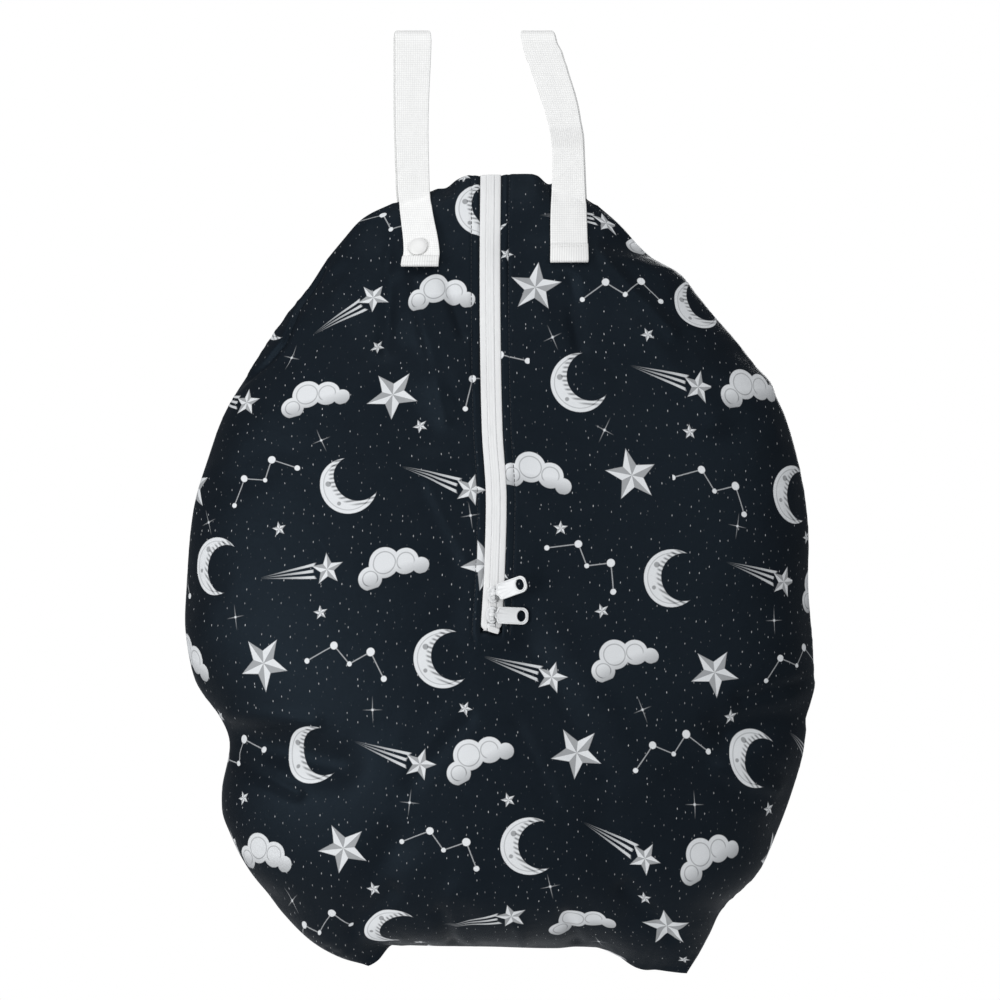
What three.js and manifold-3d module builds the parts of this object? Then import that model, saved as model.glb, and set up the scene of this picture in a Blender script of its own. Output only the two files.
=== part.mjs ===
// A hanging cloth wet bag: a filled bag of two panels, a zip down its front and two webbing loops.
// Millimetres, +Z up. The rail that it hangs on runs along X through the origin, and the front faces -Y.

import * as THREE from "three";
import { mergeVertices } from "three/addons/utils/BufferGeometryUtils.js";
import Module from "manifold-3d";

const wasm = await Module();
wasm.setup();

// Bag body, filled and hanging
const BAG_WIDTH = 449;
const BAG_HEIGHT = 568;
const FRONT_DEPTH = 88;
const BACK_DEPTH = 80;
const CLOTH_WALL = 2;
const RAIL_TO_BAG = 95.7;

// Webbing loops
const WEBBING_WIDTH = 25;
const WEBBING_THICKNESS = 1.6;
const LOOP_RADIUS = 6.3;
const LEFT_LOOP_HEM = 6.5;
const RIGHT_LOOP_HEM = 12;
const LEFT_LOOP_X = -56.8;
const RIGHT_LOOP_X = 49.3;
const LEFT_LOOP_LENGTH = 162;
const RIGHT_LOOP_LENGTH = 159;
const LEFT_LOOP_BACK_SHIFT = -1.5;
const RIGHT_LOOP_BACK_SHIFT = 1;

// Zip
const ZIP_LENGTH = 326;
const ZIP_OPENING = 15;
const TAPE_THICKNESS = 1.2;
const TAPE_SINK = 0.4;
const COIL_WIDTH = 6;
const COIL_RISE = 0.4;
const COIL_THICKNESS = 2;
const END_STOP_LENGTH = 4.5;
const END_STOP_THICKNESS = 1.6;
const END_STOP_TO_ZIP_END = 2.5;

// Sliders
const SLIDER_LENGTH = 12;
const SLIDER_PLATE = 1.3;
const SLIDER_CHEEK = 1.3;
const UPPER_SLIDER_TO_ZIP_END = 27;
const LOWER_SLIDER_TO_ZIP_END = 12.5;
const BRIDGE_LENGTH = 8;
const BRIDGE_THICKNESS = 1.4;
const BRIDGE_WINDOW_LENGTH = 4.8;

// Pull tabs
const PULL_REACH = 26;
const PULL_WIDTH = 12;
const PULL_THICKNESS = 1.5;
const PULL_CORNER = 2.6;
const PULL_NECK_WIDTH = 4;
const PULL_NECK_REACH = 6.5;
const PULL_HOLE_LENGTH = 6;
const PULL_HOLE_WIDTH = 8;
const PULL_HOLE_RIM = 2;
const EYE_INNER_RADIUS = 1.7;
const EYE_WALL = 0.8;
const EYE_LENGTH = 2.6;
const UPPER_PULL_LIFT_DEG = 20;
const UPPER_PULL_SKEW_DEG = 17;
const LOWER_PULL_LIFT_DEG = -8.5;
const LOWER_PULL_SKEW_DEG = -2;

// Snap on the left loop
const SNAP_RADIUS = 6.8;
const SNAP_DOME = 1.6;
const SNAP_EDGE = 1;
const SNAP_POST_RADIUS = 1.6;
const SNAP_BASE_RADIUS = 5.2;
const SNAP_BASE_THICKNESS = 3;
const SNAP_ABOVE_LOOP_END = 14.5;
const SNAP_SHIFT = -2;
const STAND_OFF_FADE = 26;

// Clearances
const SEAM_GAP = 0.3;
const SEAT_GAP = 0.3;
const ZIP_GAP = 0.3;
const RUNNING_GAP = 0.4;
const DRAPE_GAP = 0.8;
const DRAPE_ROUNDING = 0.8;

// Fineness of the facets
const PANEL_COLUMNS_PER_SIDE = 12;
const PANEL_ROWS_BESIDE_ZIP = 18;
const PANEL_ROWS_BELOW_ZIP = 15;
const LOOP_COLUMNS = 4;
const LOOP_RUN_STEPS = 18;
const LOOP_CROWN_STEPS = 7;
const ROUND_SIDES = 16;
const DOME_STEPS = 4;

// Turns rows of numbers into objects with the named columns.
function table(columns, rows) {
  return rows.map((row) => Object.fromEntries(columns.map((name, index) => [name, row[index]])));
}

// Sections from the top hem to the bottom seam. Drops are shares of the bag's height, left and right
// are shares of its width from the hanging centre line, and front and back are shares of the depths.
const SECTIONS = table(
  ["leftDrop", "left", "rightDrop", "right", "front", "back"],
  [
    [0.036, -0.169, 0.038, 0.154, 0.0, 0.0],
    [0.058, -0.219, 0.067, 0.194, 0.15, 0.13],
    [0.101, -0.269, 0.102, 0.235, 0.27, 0.24],
    [0.142, -0.304, 0.127, 0.285, 0.37, 0.34],
    [0.195, -0.355, 0.179, 0.343, 0.48, 0.45],
    [0.242, -0.393, 0.221, 0.388, 0.57, 0.55],
    [0.297, -0.436, 0.286, 0.444, 0.67, 0.66],
    [0.353, -0.463, 0.358, 0.474, 0.76, 0.76],
    [0.421, -0.488, 0.434, 0.49, 0.85, 0.86],
    [0.513, -0.499, 0.522, 0.491, 0.94, 0.95],
    [0.585, -0.499, 0.597, 0.498, 0.98, 0.99],
    [0.655, -0.467, 0.654, 0.498, 1.0, 1.0],
    [0.713, -0.431, 0.717, 0.485, 0.99, 0.98],
    [0.774, -0.439, 0.774, 0.464, 0.97, 0.95],
    [0.823, -0.433, 0.826, 0.439, 0.93, 0.9],
    [0.873, -0.401, 0.881, 0.407, 0.86, 0.82],
    [0.918, -0.351, 0.921, 0.36, 0.75, 0.71],
    [0.96, -0.299, 0.953, 0.332, 0.57, 0.54],
    [0.982, -0.251, 0.979, 0.312, 0.33, 0.31],
    [0.99, -0.205, 1.0, 0.293, 0.0, 0.0],
  ],
);

// The top hem and the bottom seam between the two sides: across is a share of the way from left to
// right, and drop is a share of the bag's height.
const TOP_HEM = table(
  ["across", "drop"],
  [
    [0, 0.036],
    [0.19, 0.021],
    [0.27, 0.013],
    [0.37, 0.001],
    [0.68, 0.0],
    [0.76, 0.007],
    [0.86, 0.015],
    [1, 0.038],
  ],
);
const BOTTOM_SEAM = table(
  ["across", "drop"],
  [
    [0, 0.99],
    [0.07, 0.973],
    [0.13, 0.968],
    [0.44, 0.969],
    [0.72, 0.97],
    [0.83, 0.987],
    [0.91, 0.995],
    [1, 1],
  ],
);

// Where the middle of the zip runs: drop as a share of the zip's length, shift as a share of the width.
const ZIP_LINE = table(
  ["drop", "shift"],
  [
    [0, -0.015],
    [0.2, -0.016],
    [0.4, -0.015],
    [0.57, -0.012],
    [0.7, -0.006],
    [0.88, -0.009],
    [1, -0.014],
  ],
);

// Folds and dents of a panel, each along a line from one place to another. Places are shares of the
// way across and down the panel's grid, spread is a share of the width, rise a share of the depth.
const FOLD_COLUMNS = ["fromAcross", "fromDown", "toAcross", "toDown", "spread", "rise"];
const FRONT_FOLDS = table(FOLD_COLUMNS, [
  [0.3, 0.16, 0.42, 0.3, 0.03, 0.06],
  [0.22, 0.2, 0.36, 0.36, 0.035, -0.05],
  [0.56, 0.14, 0.72, 0.3, 0.035, -0.07],
  [0.74, 0.16, 0.86, 0.34, 0.03, 0.05],
  [0.54, 0.54, 0.66, 0.68, 0.035, -0.05],
  [0.6, 0.5, 0.74, 0.66, 0.04, 0.05],
  [0.02, 0.63, 0.2, 0.66, 0.035, -0.1],
  [0.86, 0.62, 0.99, 0.6, 0.03, -0.09],
  [0.16, 0.86, 0.3, 0.76, 0.03, -0.06],
  [0.8, 0.86, 0.68, 0.74, 0.035, -0.07],
  [0.4, 0.84, 0.62, 0.86, 0.03, 0.04],
]);
const BACK_FOLDS = table(FOLD_COLUMNS, [
  [0.3, 0.12, 0.4, 0.34, 0.035, -0.07],
  [0.66, 0.12, 0.56, 0.36, 0.04, -0.07],
  [0.48, 0.1, 0.5, 0.3, 0.035, 0.06],
  [0.04, 0.62, 0.24, 0.68, 0.035, -0.09],
  [0.96, 0.6, 0.78, 0.66, 0.035, -0.09],
  [0.2, 0.86, 0.36, 0.74, 0.035, -0.07],
  [0.78, 0.88, 0.64, 0.76, 0.035, -0.07],
]);

// How a loop's webbing leans: drop is a share of the way from the rail to the loop's end, shift and
// width are shares of the webbing's width.
const LEAN_COLUMNS = ["drop", "shift", "width"];
const LEFT_LOOP_LEAN = table(LEAN_COLUMNS, [
  [0, -0.21, 1.02],
  [0.35, -0.25, 0.96],
  [0.66, -0.2, 0.91],
  [0.73, -0.13, 0.92],
  [0.92, 0.04, 1.01],
  [1, 0, 1.04],
]);
const RIGHT_LOOP_LEAN = table(LEAN_COLUMNS, [
  [0, -0.88, 0.84],
  [0.11, -0.61, 1.02],
  [0.26, -0.31, 1],
  [0.36, -0.15, 0.93],
  [0.43, -0.06, 0.91],
  [0.55, -0.02, 0.9],
  [0.8, -0.02, 1.03],
  [1, 0, 1.06],
]);

// The share of a panel's depth past which its folds have their full rise
const FOLDED_FROM = 0.5;

const COLOURS = {
  cloth: { color: 0x1a1e24, roughness: 0.62, metalness: 0 },
  webbing: { color: 0xe2e2e0, roughness: 0.85, metalness: 0 },
  zip: { color: 0xeeeeee, roughness: 0.7, metalness: 0 },
  plastic: { color: 0xf2f2f2, roughness: 0.35, metalness: 0 },
};

// A smooth curve through four evenly spaced values, between the second and the third.
function throughFour(before, start, end, after, share) {
  const slopeIn = (end - before) / 2;
  const slopeOut = (after - start) / 2;
  const rise = end - start;
  const bend = slopeIn + slopeOut - 2 * rise;
  return start + share * (slopeIn + share * (3 * rise - 2 * slopeIn - slopeOut + share * bend));
}

// Reads a column of a table at a share of the way through its rows.
function alongRows(rows, column, share) {
  const last = rows.length - 1;
  const place = THREE.MathUtils.clamp(share, 0, 1) * last;
  const index = Math.min(Math.floor(place), last - 1);
  const value = (row) => rows[THREE.MathUtils.clamp(row, 0, last)][column];
  return throughFour(value(index - 1), value(index), value(index + 1), value(index + 2), place - index);
}

// Reads a column of a table where another column, which grows row by row, has a given value.
function lookUp(rows, key, column, at) {
  const last = rows.length - 1;
  const clamped = THREE.MathUtils.clamp(at, rows[0][key], rows[last][key]);
  const index = Math.max(0, rows.findIndex((row) => row[key] >= clamped) - 1);
  const share = (clamped - rows[index][key]) / (rows[index + 1][key] - rows[index][key]);
  return alongRows(rows, column, (index + share) / last);
}

function mix(from, to, share) {
  return THREE.MathUtils.lerp(from, to, share);
}

const LAST_SECTION = SECTIONS.length - 1;
const BAG_TOP = -RAIL_TO_BAG;

// The place in the front view of a point of the grid: across from left to right, down from the top
// hem to the bottom seam. The hem's and the seam's own curves fade out away from them.
function outline(across, down) {
  const leftX = alongRows(SECTIONS, "left", down) * BAG_WIDTH;
  const rightX = alongRows(SECTIONS, "right", down) * BAG_WIDTH;
  const leftDrop = alongRows(SECTIONS, "leftDrop", down);
  const rightDrop = alongRows(SECTIONS, "rightDrop", down);
  const hemLine = mix(SECTIONS[0].leftDrop, SECTIONS[0].rightDrop, across);
  const seamLine = mix(SECTIONS[LAST_SECTION].leftDrop, SECTIONS[LAST_SECTION].rightDrop, across);
  const hemBow = (lookUp(TOP_HEM, "across", "drop", across) - hemLine) * (1 - down) ** 2;
  const seamBow = (lookUp(BOTTOM_SEAM, "across", "drop", across) - seamLine) * down ** 4;
  const drop = mix(leftDrop, rightDrop, across) + hemBow + seamBow;
  return new THREE.Vector2(mix(leftX, rightX, across), BAG_TOP - drop * BAG_HEIGHT);
}

// A fold's line in the front view.
function laidFold(fold) {
  const start = outline(fold.fromAcross, fold.fromDown);
  const line = outline(fold.toAcross, fold.toDown).sub(start);
  return { start, line, spread: fold.spread * BAG_WIDTH, rise: fold.rise };
}

// How much a fold lifts a place: its rise along its line, fading to both sides and past its ends.
function foldRise(fold, place) {
  const offset = place.clone().sub(fold.start);
  const along = THREE.MathUtils.clamp(offset.dot(fold.line) / fold.line.lengthSq(), 0, 1);
  const beside = offset.addScaledVector(fold.line, -along).length() / fold.spread;
  return fold.rise * Math.exp(-beside * beside);
}

// The two panels. Facing is -1 for the front and 1 for the back.
const FRONT = { facing: -1, depth: FRONT_DEPTH, column: "front", folds: FRONT_FOLDS.map(laidFold) };
const BACK = { facing: 1, depth: BACK_DEPTH, column: "back", folds: BACK_FOLDS.map(laidFold) };

// A panel's depth in front of or behind the seam plane. Folds fade out towards the seam.
function panelDepth(panel, across, down) {
  const roundness = Math.sqrt(Math.max(0, 1 - (2 * across - 1) ** 2));
  const full = alongRows(SECTIONS, panel.column, down) * roundness;
  const place = outline(across, down);
  const rise = panel.folds.reduce((sum, fold) => sum + foldRise(fold, place), 0);
  return panel.depth * (full + rise * Math.min(1, full / FOLDED_FROM));
}

// The direction into the panel, in the front view, from its border: full at the borders and nothing
// in the middle of the panel.
const PROBE = 0.002;
function inward(across, down) {
  const a = THREE.MathUtils.clamp(across, PROBE, 1 - PROBE);
  const d = THREE.MathUtils.clamp(down, PROBE, 1 - PROBE);
  const alongRow = outline(a + PROBE, d).sub(outline(a - PROBE, d)).normalize();
  const alongColumn = outline(a, d + PROBE).sub(outline(a, d - PROBE)).normalize();
  const fromSides = new THREE.Vector2(-alongColumn.y, alongColumn.x);
  const fromHem = new THREE.Vector2(alongRow.y, -alongRow.x);
  return fromSides.multiplyScalar((1 - 2 * across) ** 3).addScaledVector(fromHem, (1 - 2 * down) ** 3);
}

// A point of a panel, sunk below its outer face by a given depth. At the border it sinks in the seam
// plane, so that the rim is flat there.
function panelPoint(panel, across, down, sink) {
  const place = outline(across, down).addScaledVector(inward(across, down), Math.max(0, sink));
  const depth = Math.max(0, panelDepth(panel, across, down) - sink);
  return new THREE.Vector3(place.x, panel.facing * (SEAM_GAP / 2 + depth), place.y);
}

// The share of the grid that lies at a height in the front view, in the column at a share across.
function downAt(across, z) {
  let low = 0;
  let high = 1;
  for (let step = 0; step < 30; step += 1) {
    const middle = (low + high) / 2;
    if (outline(across, middle).y > z) {
      low = middle;
    } else {
      high = middle;
    }
  }
  return (low + high) / 2;
}

// The share across at a place x in a row of the grid.
function acrossAt(down, x) {
  const left = outline(0, down).x;
  const right = outline(1, down).x;
  return THREE.MathUtils.clamp((x - left) / (right - left), 0, 1);
}

// The grid's share across and down under a place in the front view.
function gridAt(x, z) {
  let across = 0.5;
  let down = 0;
  for (let step = 0; step < 6; step += 1) {
    down = downAt(across, z);
    across = acrossAt(down, x);
  }
  return { across, down };
}

// Closes a grid of cells between an outer and an inner face into one body.
function slab(columns, rows, outer, inner, keep = () => true) {
  const width = columns + 1;
  const layer = width * (rows + 1);
  const positions = [];
  for (const face of [outer, inner]) {
    for (let row = 0; row <= rows; row += 1) {
      for (let column = 0; column <= columns; column += 1) {
        positions.push(...face(column, row).toArray());
      }
    }
  }
  const triangles = [];
  const quad = (a, b, c, d) => triangles.push(a, b, c, a, c, d);
  const kept = (column, row) =>
    column >= 0 && row >= 0 && column < columns && row < rows && keep(column, row);
  for (let row = 0; row < rows; row += 1) {
    for (let column = 0; column < columns; column += 1) {
      if (!kept(column, row)) {
        continue;
      }
      const corners = [row * width + column, (row + 1) * width + column];
      corners.push(corners[1] + 1, corners[0] + 1);
      quad(...corners);
      quad(...corners.map((corner) => corner + layer).reverse());
      const neighbours = [
        [column - 1, row],
        [column, row + 1],
        [column + 1, row],
        [column, row - 1],
      ];
      neighbours.forEach((neighbour, side) => {
        if (!kept(...neighbour)) {
          const from = corners[side];
          const to = corners[(side + 1) % 4];
          quad(to, from, from + layer, to + layer);
        }
      });
    }
  }
  const geometry = new THREE.BufferGeometry();
  geometry.setAttribute("position", new THREE.Float32BufferAttribute(positions, 3));
  geometry.setIndex(triangles);
  return facingOut(geometry);
}

// Signed volume of a closed indexed geometry.
function volumeOf(geometry) {
  const position = geometry.getAttribute("position");
  const index = geometry.getIndex();
  const corners = [0, 1, 2].map(() => new THREE.Vector3());
  let volume = 0;
  for (let start = 0; start < index.count; start += 3) {
    corners.forEach((corner, side) => corner.fromBufferAttribute(position, index.getX(start + side)));
    volume += corners[0].dot(corners[1].cross(corners[2])) / 6;
  }
  return volume;
}

// Turns the faces of a closed body outwards and drops the points that no face uses.
function facingOut(geometry) {
  const triangles = Array.from(geometry.getIndex().array);
  if (volumeOf(geometry) < 0) {
    triangles.reverse();
  }
  const position = geometry.getAttribute("position");
  const used = [...new Set(triangles)];
  const renumbered = new Map(used.map((old, index) => [old, index]));
  const points = used.flatMap((old) => [position.getX(old), position.getY(old), position.getZ(old)]);
  const clean = new THREE.BufferGeometry();
  clean.setAttribute("position", new THREE.Float32BufferAttribute(points, 3));
  clean.setIndex(triangles.map((old) => renumbered.get(old)));
  return clean;
}

// A closed geometry as a solid that can be joined and cut, and back.
function solid(geometry) {
  const plain = geometry.clone();
  plain.deleteAttribute("normal");
  plain.deleteAttribute("uv");
  const merged = mergeVertices(plain, 1e-4);
  const vertProperties = new Float32Array(merged.getAttribute("position").array);
  const triVerts = new Uint32Array(merged.getIndex().array);
  return new wasm.Manifold(new wasm.Mesh({ numProp: 3, vertProperties, triVerts }));
}

function geometryOf(manifold) {
  const mesh = manifold.getMesh();
  const geometry = new THREE.BufferGeometry();
  geometry.setAttribute("position", new THREE.Float32BufferAttribute(mesh.vertProperties, 3));
  geometry.setIndex(Array.from(mesh.triVerts));
  return geometry;
}

// The zip's middle and edges on the front panel
const ZIP_BOTTOM = BAG_TOP - ZIP_LENGTH;

const ZIP_ACROSS = gridAt(ZIP_LINE[0].shift * BAG_WIDTH, BAG_TOP).across;

function zipMiddle(down) {
  const drop = BAG_TOP - outline(ZIP_ACROSS, down).y;
  return lookUp(ZIP_LINE, "drop", "shift", drop / ZIP_LENGTH) * BAG_WIDTH;
}

// A share across the grid at a distance to the right of the zip's middle.
function besideZip(down, distance) {
  return acrossAt(down, zipMiddle(down) + distance);
}

const ZIP_END_DOWN = gridAt(zipMiddle(1), ZIP_BOTTOM).down;

// Panels

// Shares across a panel, from its left border to its right one, closer together near the borders.
function panelAcross(column, leftOfZip, rightOfZip) {
  const side = PANEL_COLUMNS_PER_SIDE;
  if (column <= side) {
    return leftOfZip * (1 - Math.cos((column / side) * (Math.PI / 2)));
  }
  return 1 - (1 - rightOfZip) * (1 - Math.cos(((2 * side + 1 - column) / side) * (Math.PI / 2)));
}

function panelDown(row) {
  const eased = (share) => share - Math.sin(2 * Math.PI * share) / 24;
  if (row <= PANEL_ROWS_BESIDE_ZIP) {
    return ZIP_END_DOWN * (row / PANEL_ROWS_BESIDE_ZIP);
  }
  return mix(ZIP_END_DOWN, 1, eased((row - PANEL_ROWS_BESIDE_ZIP) / PANEL_ROWS_BELOW_ZIP));
}

const PANEL_COLUMNS = 2 * PANEL_COLUMNS_PER_SIDE + 1;
const PANEL_ROWS = PANEL_ROWS_BESIDE_ZIP + PANEL_ROWS_BELOW_ZIP;

function panelGeometry(panel, keep) {
  const face = (sink) => (column, row) => {
    const down = panelDown(row);
    const leftOfZip = besideZip(down, -ZIP_OPENING / 2);
    const rightOfZip = besideZip(down, ZIP_OPENING / 2);
    return panelPoint(panel, panelAcross(column, leftOfZip, rightOfZip), down, sink);
  };
  return slab(PANEL_COLUMNS, PANEL_ROWS, face(0), face(CLOTH_WALL), keep);
}

function besideTheSlot(column, row) {
  return column !== PANEL_COLUMNS_PER_SIDE || row >= PANEL_ROWS_BESIDE_ZIP;
}

// Zip tapes and coil

// A strip along the zip between two distances from its middle and two depths below the cloth's face,
// from the top hem to a given drop.
function zipStrip(left, right, sinkOuter, sinkInner, drop) {
  const endDown = gridAt(zipMiddle(ZIP_END_DOWN), BAG_TOP - drop).down;
  const face = (sink) => (column, row) => {
    const down = endDown * (row / PANEL_ROWS_BESIDE_ZIP);
    return panelPoint(FRONT, besideZip(down, column ? right : left), down, sink);
  };
  return slab(1, PANEL_ROWS_BESIDE_ZIP, face(sinkOuter), face(sinkInner));
}

const TAPE_INNER_EDGE = COIL_WIDTH / 2 + ZIP_GAP;
const TAPE_OUTER_EDGE = ZIP_OPENING / 2 - ZIP_GAP;
const TAPE_DROP = ZIP_LENGTH - ZIP_GAP;
const COIL_DROP = ZIP_LENGTH - END_STOP_TO_ZIP_END - END_STOP_LENGTH - ZIP_GAP;

function tapeGeometry(side) {
  const edges = [side * TAPE_INNER_EDGE, side * TAPE_OUTER_EDGE].sort((a, b) => a - b);
  return zipStrip(...edges, TAPE_SINK, TAPE_SINK + TAPE_THICKNESS, TAPE_DROP);
}

function coilGeometry() {
  const half = COIL_WIDTH / 2;
  return zipStrip(-half, half, -COIL_RISE, COIL_THICKNESS - COIL_RISE, COIL_DROP);
}

// Sliders: a plate with two cheeks over the coil, and a bridge that a pull tab hangs on
const CHANNEL_HALF_WIDTH = COIL_WIDTH / 2 + RUNNING_GAP;
const SLIDER_HALF_WIDTH = CHANNEL_HALF_WIDTH + SLIDER_CHEEK;
const CHANNEL_TOP = COIL_RISE + RUNNING_GAP;
const CHEEK_FOOT = RUNNING_GAP - TAPE_SINK;
const PLATE_TOP = CHANNEL_TOP + SLIDER_PLATE;
const EYE_OUTER_RADIUS = EYE_INNER_RADIUS + EYE_WALL;
const BRIDGE_AXIS = PLATE_TOP + EYE_OUTER_RADIUS + RUNNING_GAP;

// Extrudes a shape so that its middle plane is at 0.
function extruded(shape, depth) {
  const geometry = new THREE.ExtrudeGeometry(shape, { depth, bevelEnabled: false, curveSegments: 6 });
  return geometry.translate(0, 0, -depth / 2);
}

function polygon(points) {
  return new THREE.Shape(points.map(([x, y]) => new THREE.Vector2(x, y)));
}

function sliderGeometry() {
  // Seen along the zip, with the outside of the bag at negative Y.
  const body = extruded(
    polygon([
      [-SLIDER_HALF_WIDTH, -PLATE_TOP],
      [SLIDER_HALF_WIDTH, -PLATE_TOP],
      [SLIDER_HALF_WIDTH, -CHEEK_FOOT],
      [CHANNEL_HALF_WIDTH, -CHEEK_FOOT],
      [CHANNEL_HALF_WIDTH, -CHANNEL_TOP],
      [-CHANNEL_HALF_WIDTH, -CHANNEL_TOP],
      [-CHANNEL_HALF_WIDTH, -CHEEK_FOOT],
      [-SLIDER_HALF_WIDTH, -CHEEK_FOOT],
    ]),
    SLIDER_LENGTH,
  );
  // Seen from the side: an arch whose window takes the pull's eye.
  const half = BRIDGE_LENGTH / 2;
  const window = BRIDGE_WINDOW_LENGTH / 2;
  const foot = PLATE_TOP - SLIDER_PLATE / 2;
  const barLow = BRIDGE_AXIS - BRIDGE_THICKNESS / 2;
  const barHigh = BRIDGE_AXIS + BRIDGE_THICKNESS / 2;
  const arch = extruded(
    polygon([
      [-half, foot],
      [-window, foot],
      [-window, barLow],
      [window, barLow],
      [window, foot],
      [half, foot],
      [half, barLow],
      [window, barHigh],
      [-window, barHigh],
      [-half, barLow],
    ]),
    BRIDGE_THICKNESS,
  );
  const along = new THREE.Vector3(0, 0, 1);
  const outward = new THREE.Vector3(0, -1, 0);
  arch.applyMatrix4(new THREE.Matrix4().makeBasis(along, outward, along.clone().cross(outward)));
  return geometryOf(solid(body).add(solid(arch)));
}

// A pull tab that reaches along +X from its eye, whose axis is Z.
function pullGeometry() {
  const half = PULL_WIDTH / 2;
  const neck = PULL_NECK_WIDTH / 2;
  const tab = new THREE.Shape();
  tab.moveTo(EYE_INNER_RADIUS + EYE_WALL / 2, -neck);
  tab.lineTo(PULL_NECK_REACH - PULL_CORNER, -neck);
  tab.quadraticCurveTo(PULL_NECK_REACH, -half, PULL_NECK_REACH + PULL_CORNER, -half);
  tab.lineTo(PULL_REACH - PULL_CORNER, -half);
  tab.absarc(PULL_REACH - PULL_CORNER, PULL_CORNER - half, PULL_CORNER, -Math.PI / 2, 0, false);
  tab.absarc(PULL_REACH - PULL_CORNER, half - PULL_CORNER, PULL_CORNER, 0, Math.PI / 2, false);
  tab.lineTo(PULL_NECK_REACH + PULL_CORNER, half);
  tab.quadraticCurveTo(PULL_NECK_REACH, half, PULL_NECK_REACH - PULL_CORNER, neck);
  tab.lineTo(EYE_INNER_RADIUS + EYE_WALL / 2, neck);
  const hole = new THREE.Path();
  const holeX = PULL_REACH - PULL_HOLE_RIM - PULL_HOLE_LENGTH / 2;
  hole.absellipse(holeX, 0, PULL_HOLE_LENGTH / 2, PULL_HOLE_WIDTH / 2, 0, 2 * Math.PI, true);
  tab.holes.push(hole);
  const plate = extruded(tab, PULL_THICKNESS).rotateX(Math.PI / 2);
  const ring = new THREE.Shape().absarc(0, 0, EYE_OUTER_RADIUS, 0, 2 * Math.PI, false);
  ring.holes.push(new THREE.Path().absarc(0, 0, EYE_INNER_RADIUS, 0, 2 * Math.PI, true));
  const eye = extruded(ring, EYE_LENGTH);
  return geometryOf(solid(plate).add(solid(eye)));
}

function endStopGeometry() {
  const geometry = new THREE.BoxGeometry(COIL_WIDTH, END_STOP_THICKNESS, END_STOP_LENGTH);
  return geometry.translate(0, END_STOP_THICKNESS / 2 - COIL_RISE, 0);
}

// The zip's surface at a drop below the top hem.
function zipFrame(drop) {
  const z = BAG_TOP - drop;
  const x = zipMiddle(gridAt(0, z).down);
  return surfaceFrame((atX, atZ) => panelSpot(FRONT, atX, atZ), x, z, SLIDER_LENGTH / 2);
}

// A slider at a distance above the zip's lower end, with its pull tab turned about the bridge's bar
// by its lift.
function addSlider(name, toZipEnd, liftDeg, skewDeg) {
  const frame = zipFrame(ZIP_LENGTH - toZipEnd);
  PART.add(frame);
  place(frame, `slider_${name}`, sliderGeometry(), COLOURS.plastic);
  const pull = place(frame, `pull_${name}`, pullGeometry(), COLOURS.plastic);
  pull.position.y = -BRIDGE_AXIS;
  const lift = THREE.MathUtils.degToRad(liftDeg);
  const skew = THREE.MathUtils.degToRad(skewDeg);
  pull.rotation.set(0, -skew, -lift, "ZYX");
}

// Webbing loops

// The larger of two values, rounded off where they cross.
function softMax(first, second, rounding) {
  return (first + second + Math.sqrt((first - second) ** 2 + 4 * rounding * rounding)) / 2;
}

const LEFT_LOOP = {
  x: LEFT_LOOP_X,
  length: LEFT_LOOP_LENGTH,
  hem: LEFT_LOOP_HEM,
  lean: LEFT_LOOP_LEAN,
  backShift: LEFT_LOOP_BACK_SHIFT,
  standOff: SNAP_BASE_THICKNESS + SEAT_GAP,
};
const RIGHT_LOOP = {
  x: RIGHT_LOOP_X,
  length: RIGHT_LOOP_LENGTH,
  hem: RIGHT_LOOP_HEM,
  lean: RIGHT_LOOP_LEAN,
  backShift: RIGHT_LOOP_BACK_SHIFT,
  standOff: 0,
};

// A place on a panel's outer face, above a place in the front view.
function panelSpot(panel, x, z) {
  const { across, down } = gridAt(x, z);
  return panelPoint(panel, across, down, 0);
}

// The axes of a surface at a place: X across, Y into the bag, Z up along it. spot gives the surface's
// point above a place in the front view, and reach is how far the axes are measured over.
function surfaceFrame(spot, x, z, reach) {
  const up = spot(x, z + reach).sub(spot(x, z - reach)).normalize();
  const right = spot(x + reach, z).sub(spot(x - reach, z));
  const intoBag = up.clone().cross(right).normalize();
  right.crossVectors(intoBag, up);
  const frame = new THREE.Group();
  frame.position.copy(spot(x, z));
  frame.quaternion.setFromRotationMatrix(new THREE.Matrix4().makeBasis(right, intoBag, up));
  frame.updateMatrix();
  return frame;
}

// The snap's place on the left loop, and how much of a distance along Y lies along the cloth's normal
const SNAP_Z = SNAP_ABOVE_LOOP_END - LEFT_LOOP_LENGTH;
const SNAP_X = LEFT_LOOP_X + SNAP_SHIFT;
const SNAP_CLOTH = surfaceFrame((x, z) => panelSpot(FRONT, x, z), SNAP_X, SNAP_Z, SNAP_RADIUS);
const SNAP_SLOPE = new THREE.Vector3(0, 1, 0).applyQuaternion(SNAP_CLOTH.quaternion).y;

// How far the webbing's inner face lies from the seam plane at a place of one of its two runs.
function runDepth(loop, panel, x, z) {
  const { across, down } = gridAt(x, z);
  const isOverCloth = z < outline(across, 0).y;
  const cloth = isOverCloth ? panelDepth(panel, across, down) + SEAM_GAP / 2 : 0;
  const aboveSnap = z + loop.length - SNAP_ABOVE_LOOP_END - SNAP_RADIUS;
  const held = panel === FRONT ? loop.standOff / SNAP_SLOPE : 0;
  const raised = held * (1 - THREE.MathUtils.smoothstep(aboveSnap, 0, STAND_OFF_FADE));
  return softMax(LOOP_RADIUS, cloth + DRAPE_GAP + raised, DRAPE_ROUNDING);
}

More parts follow.
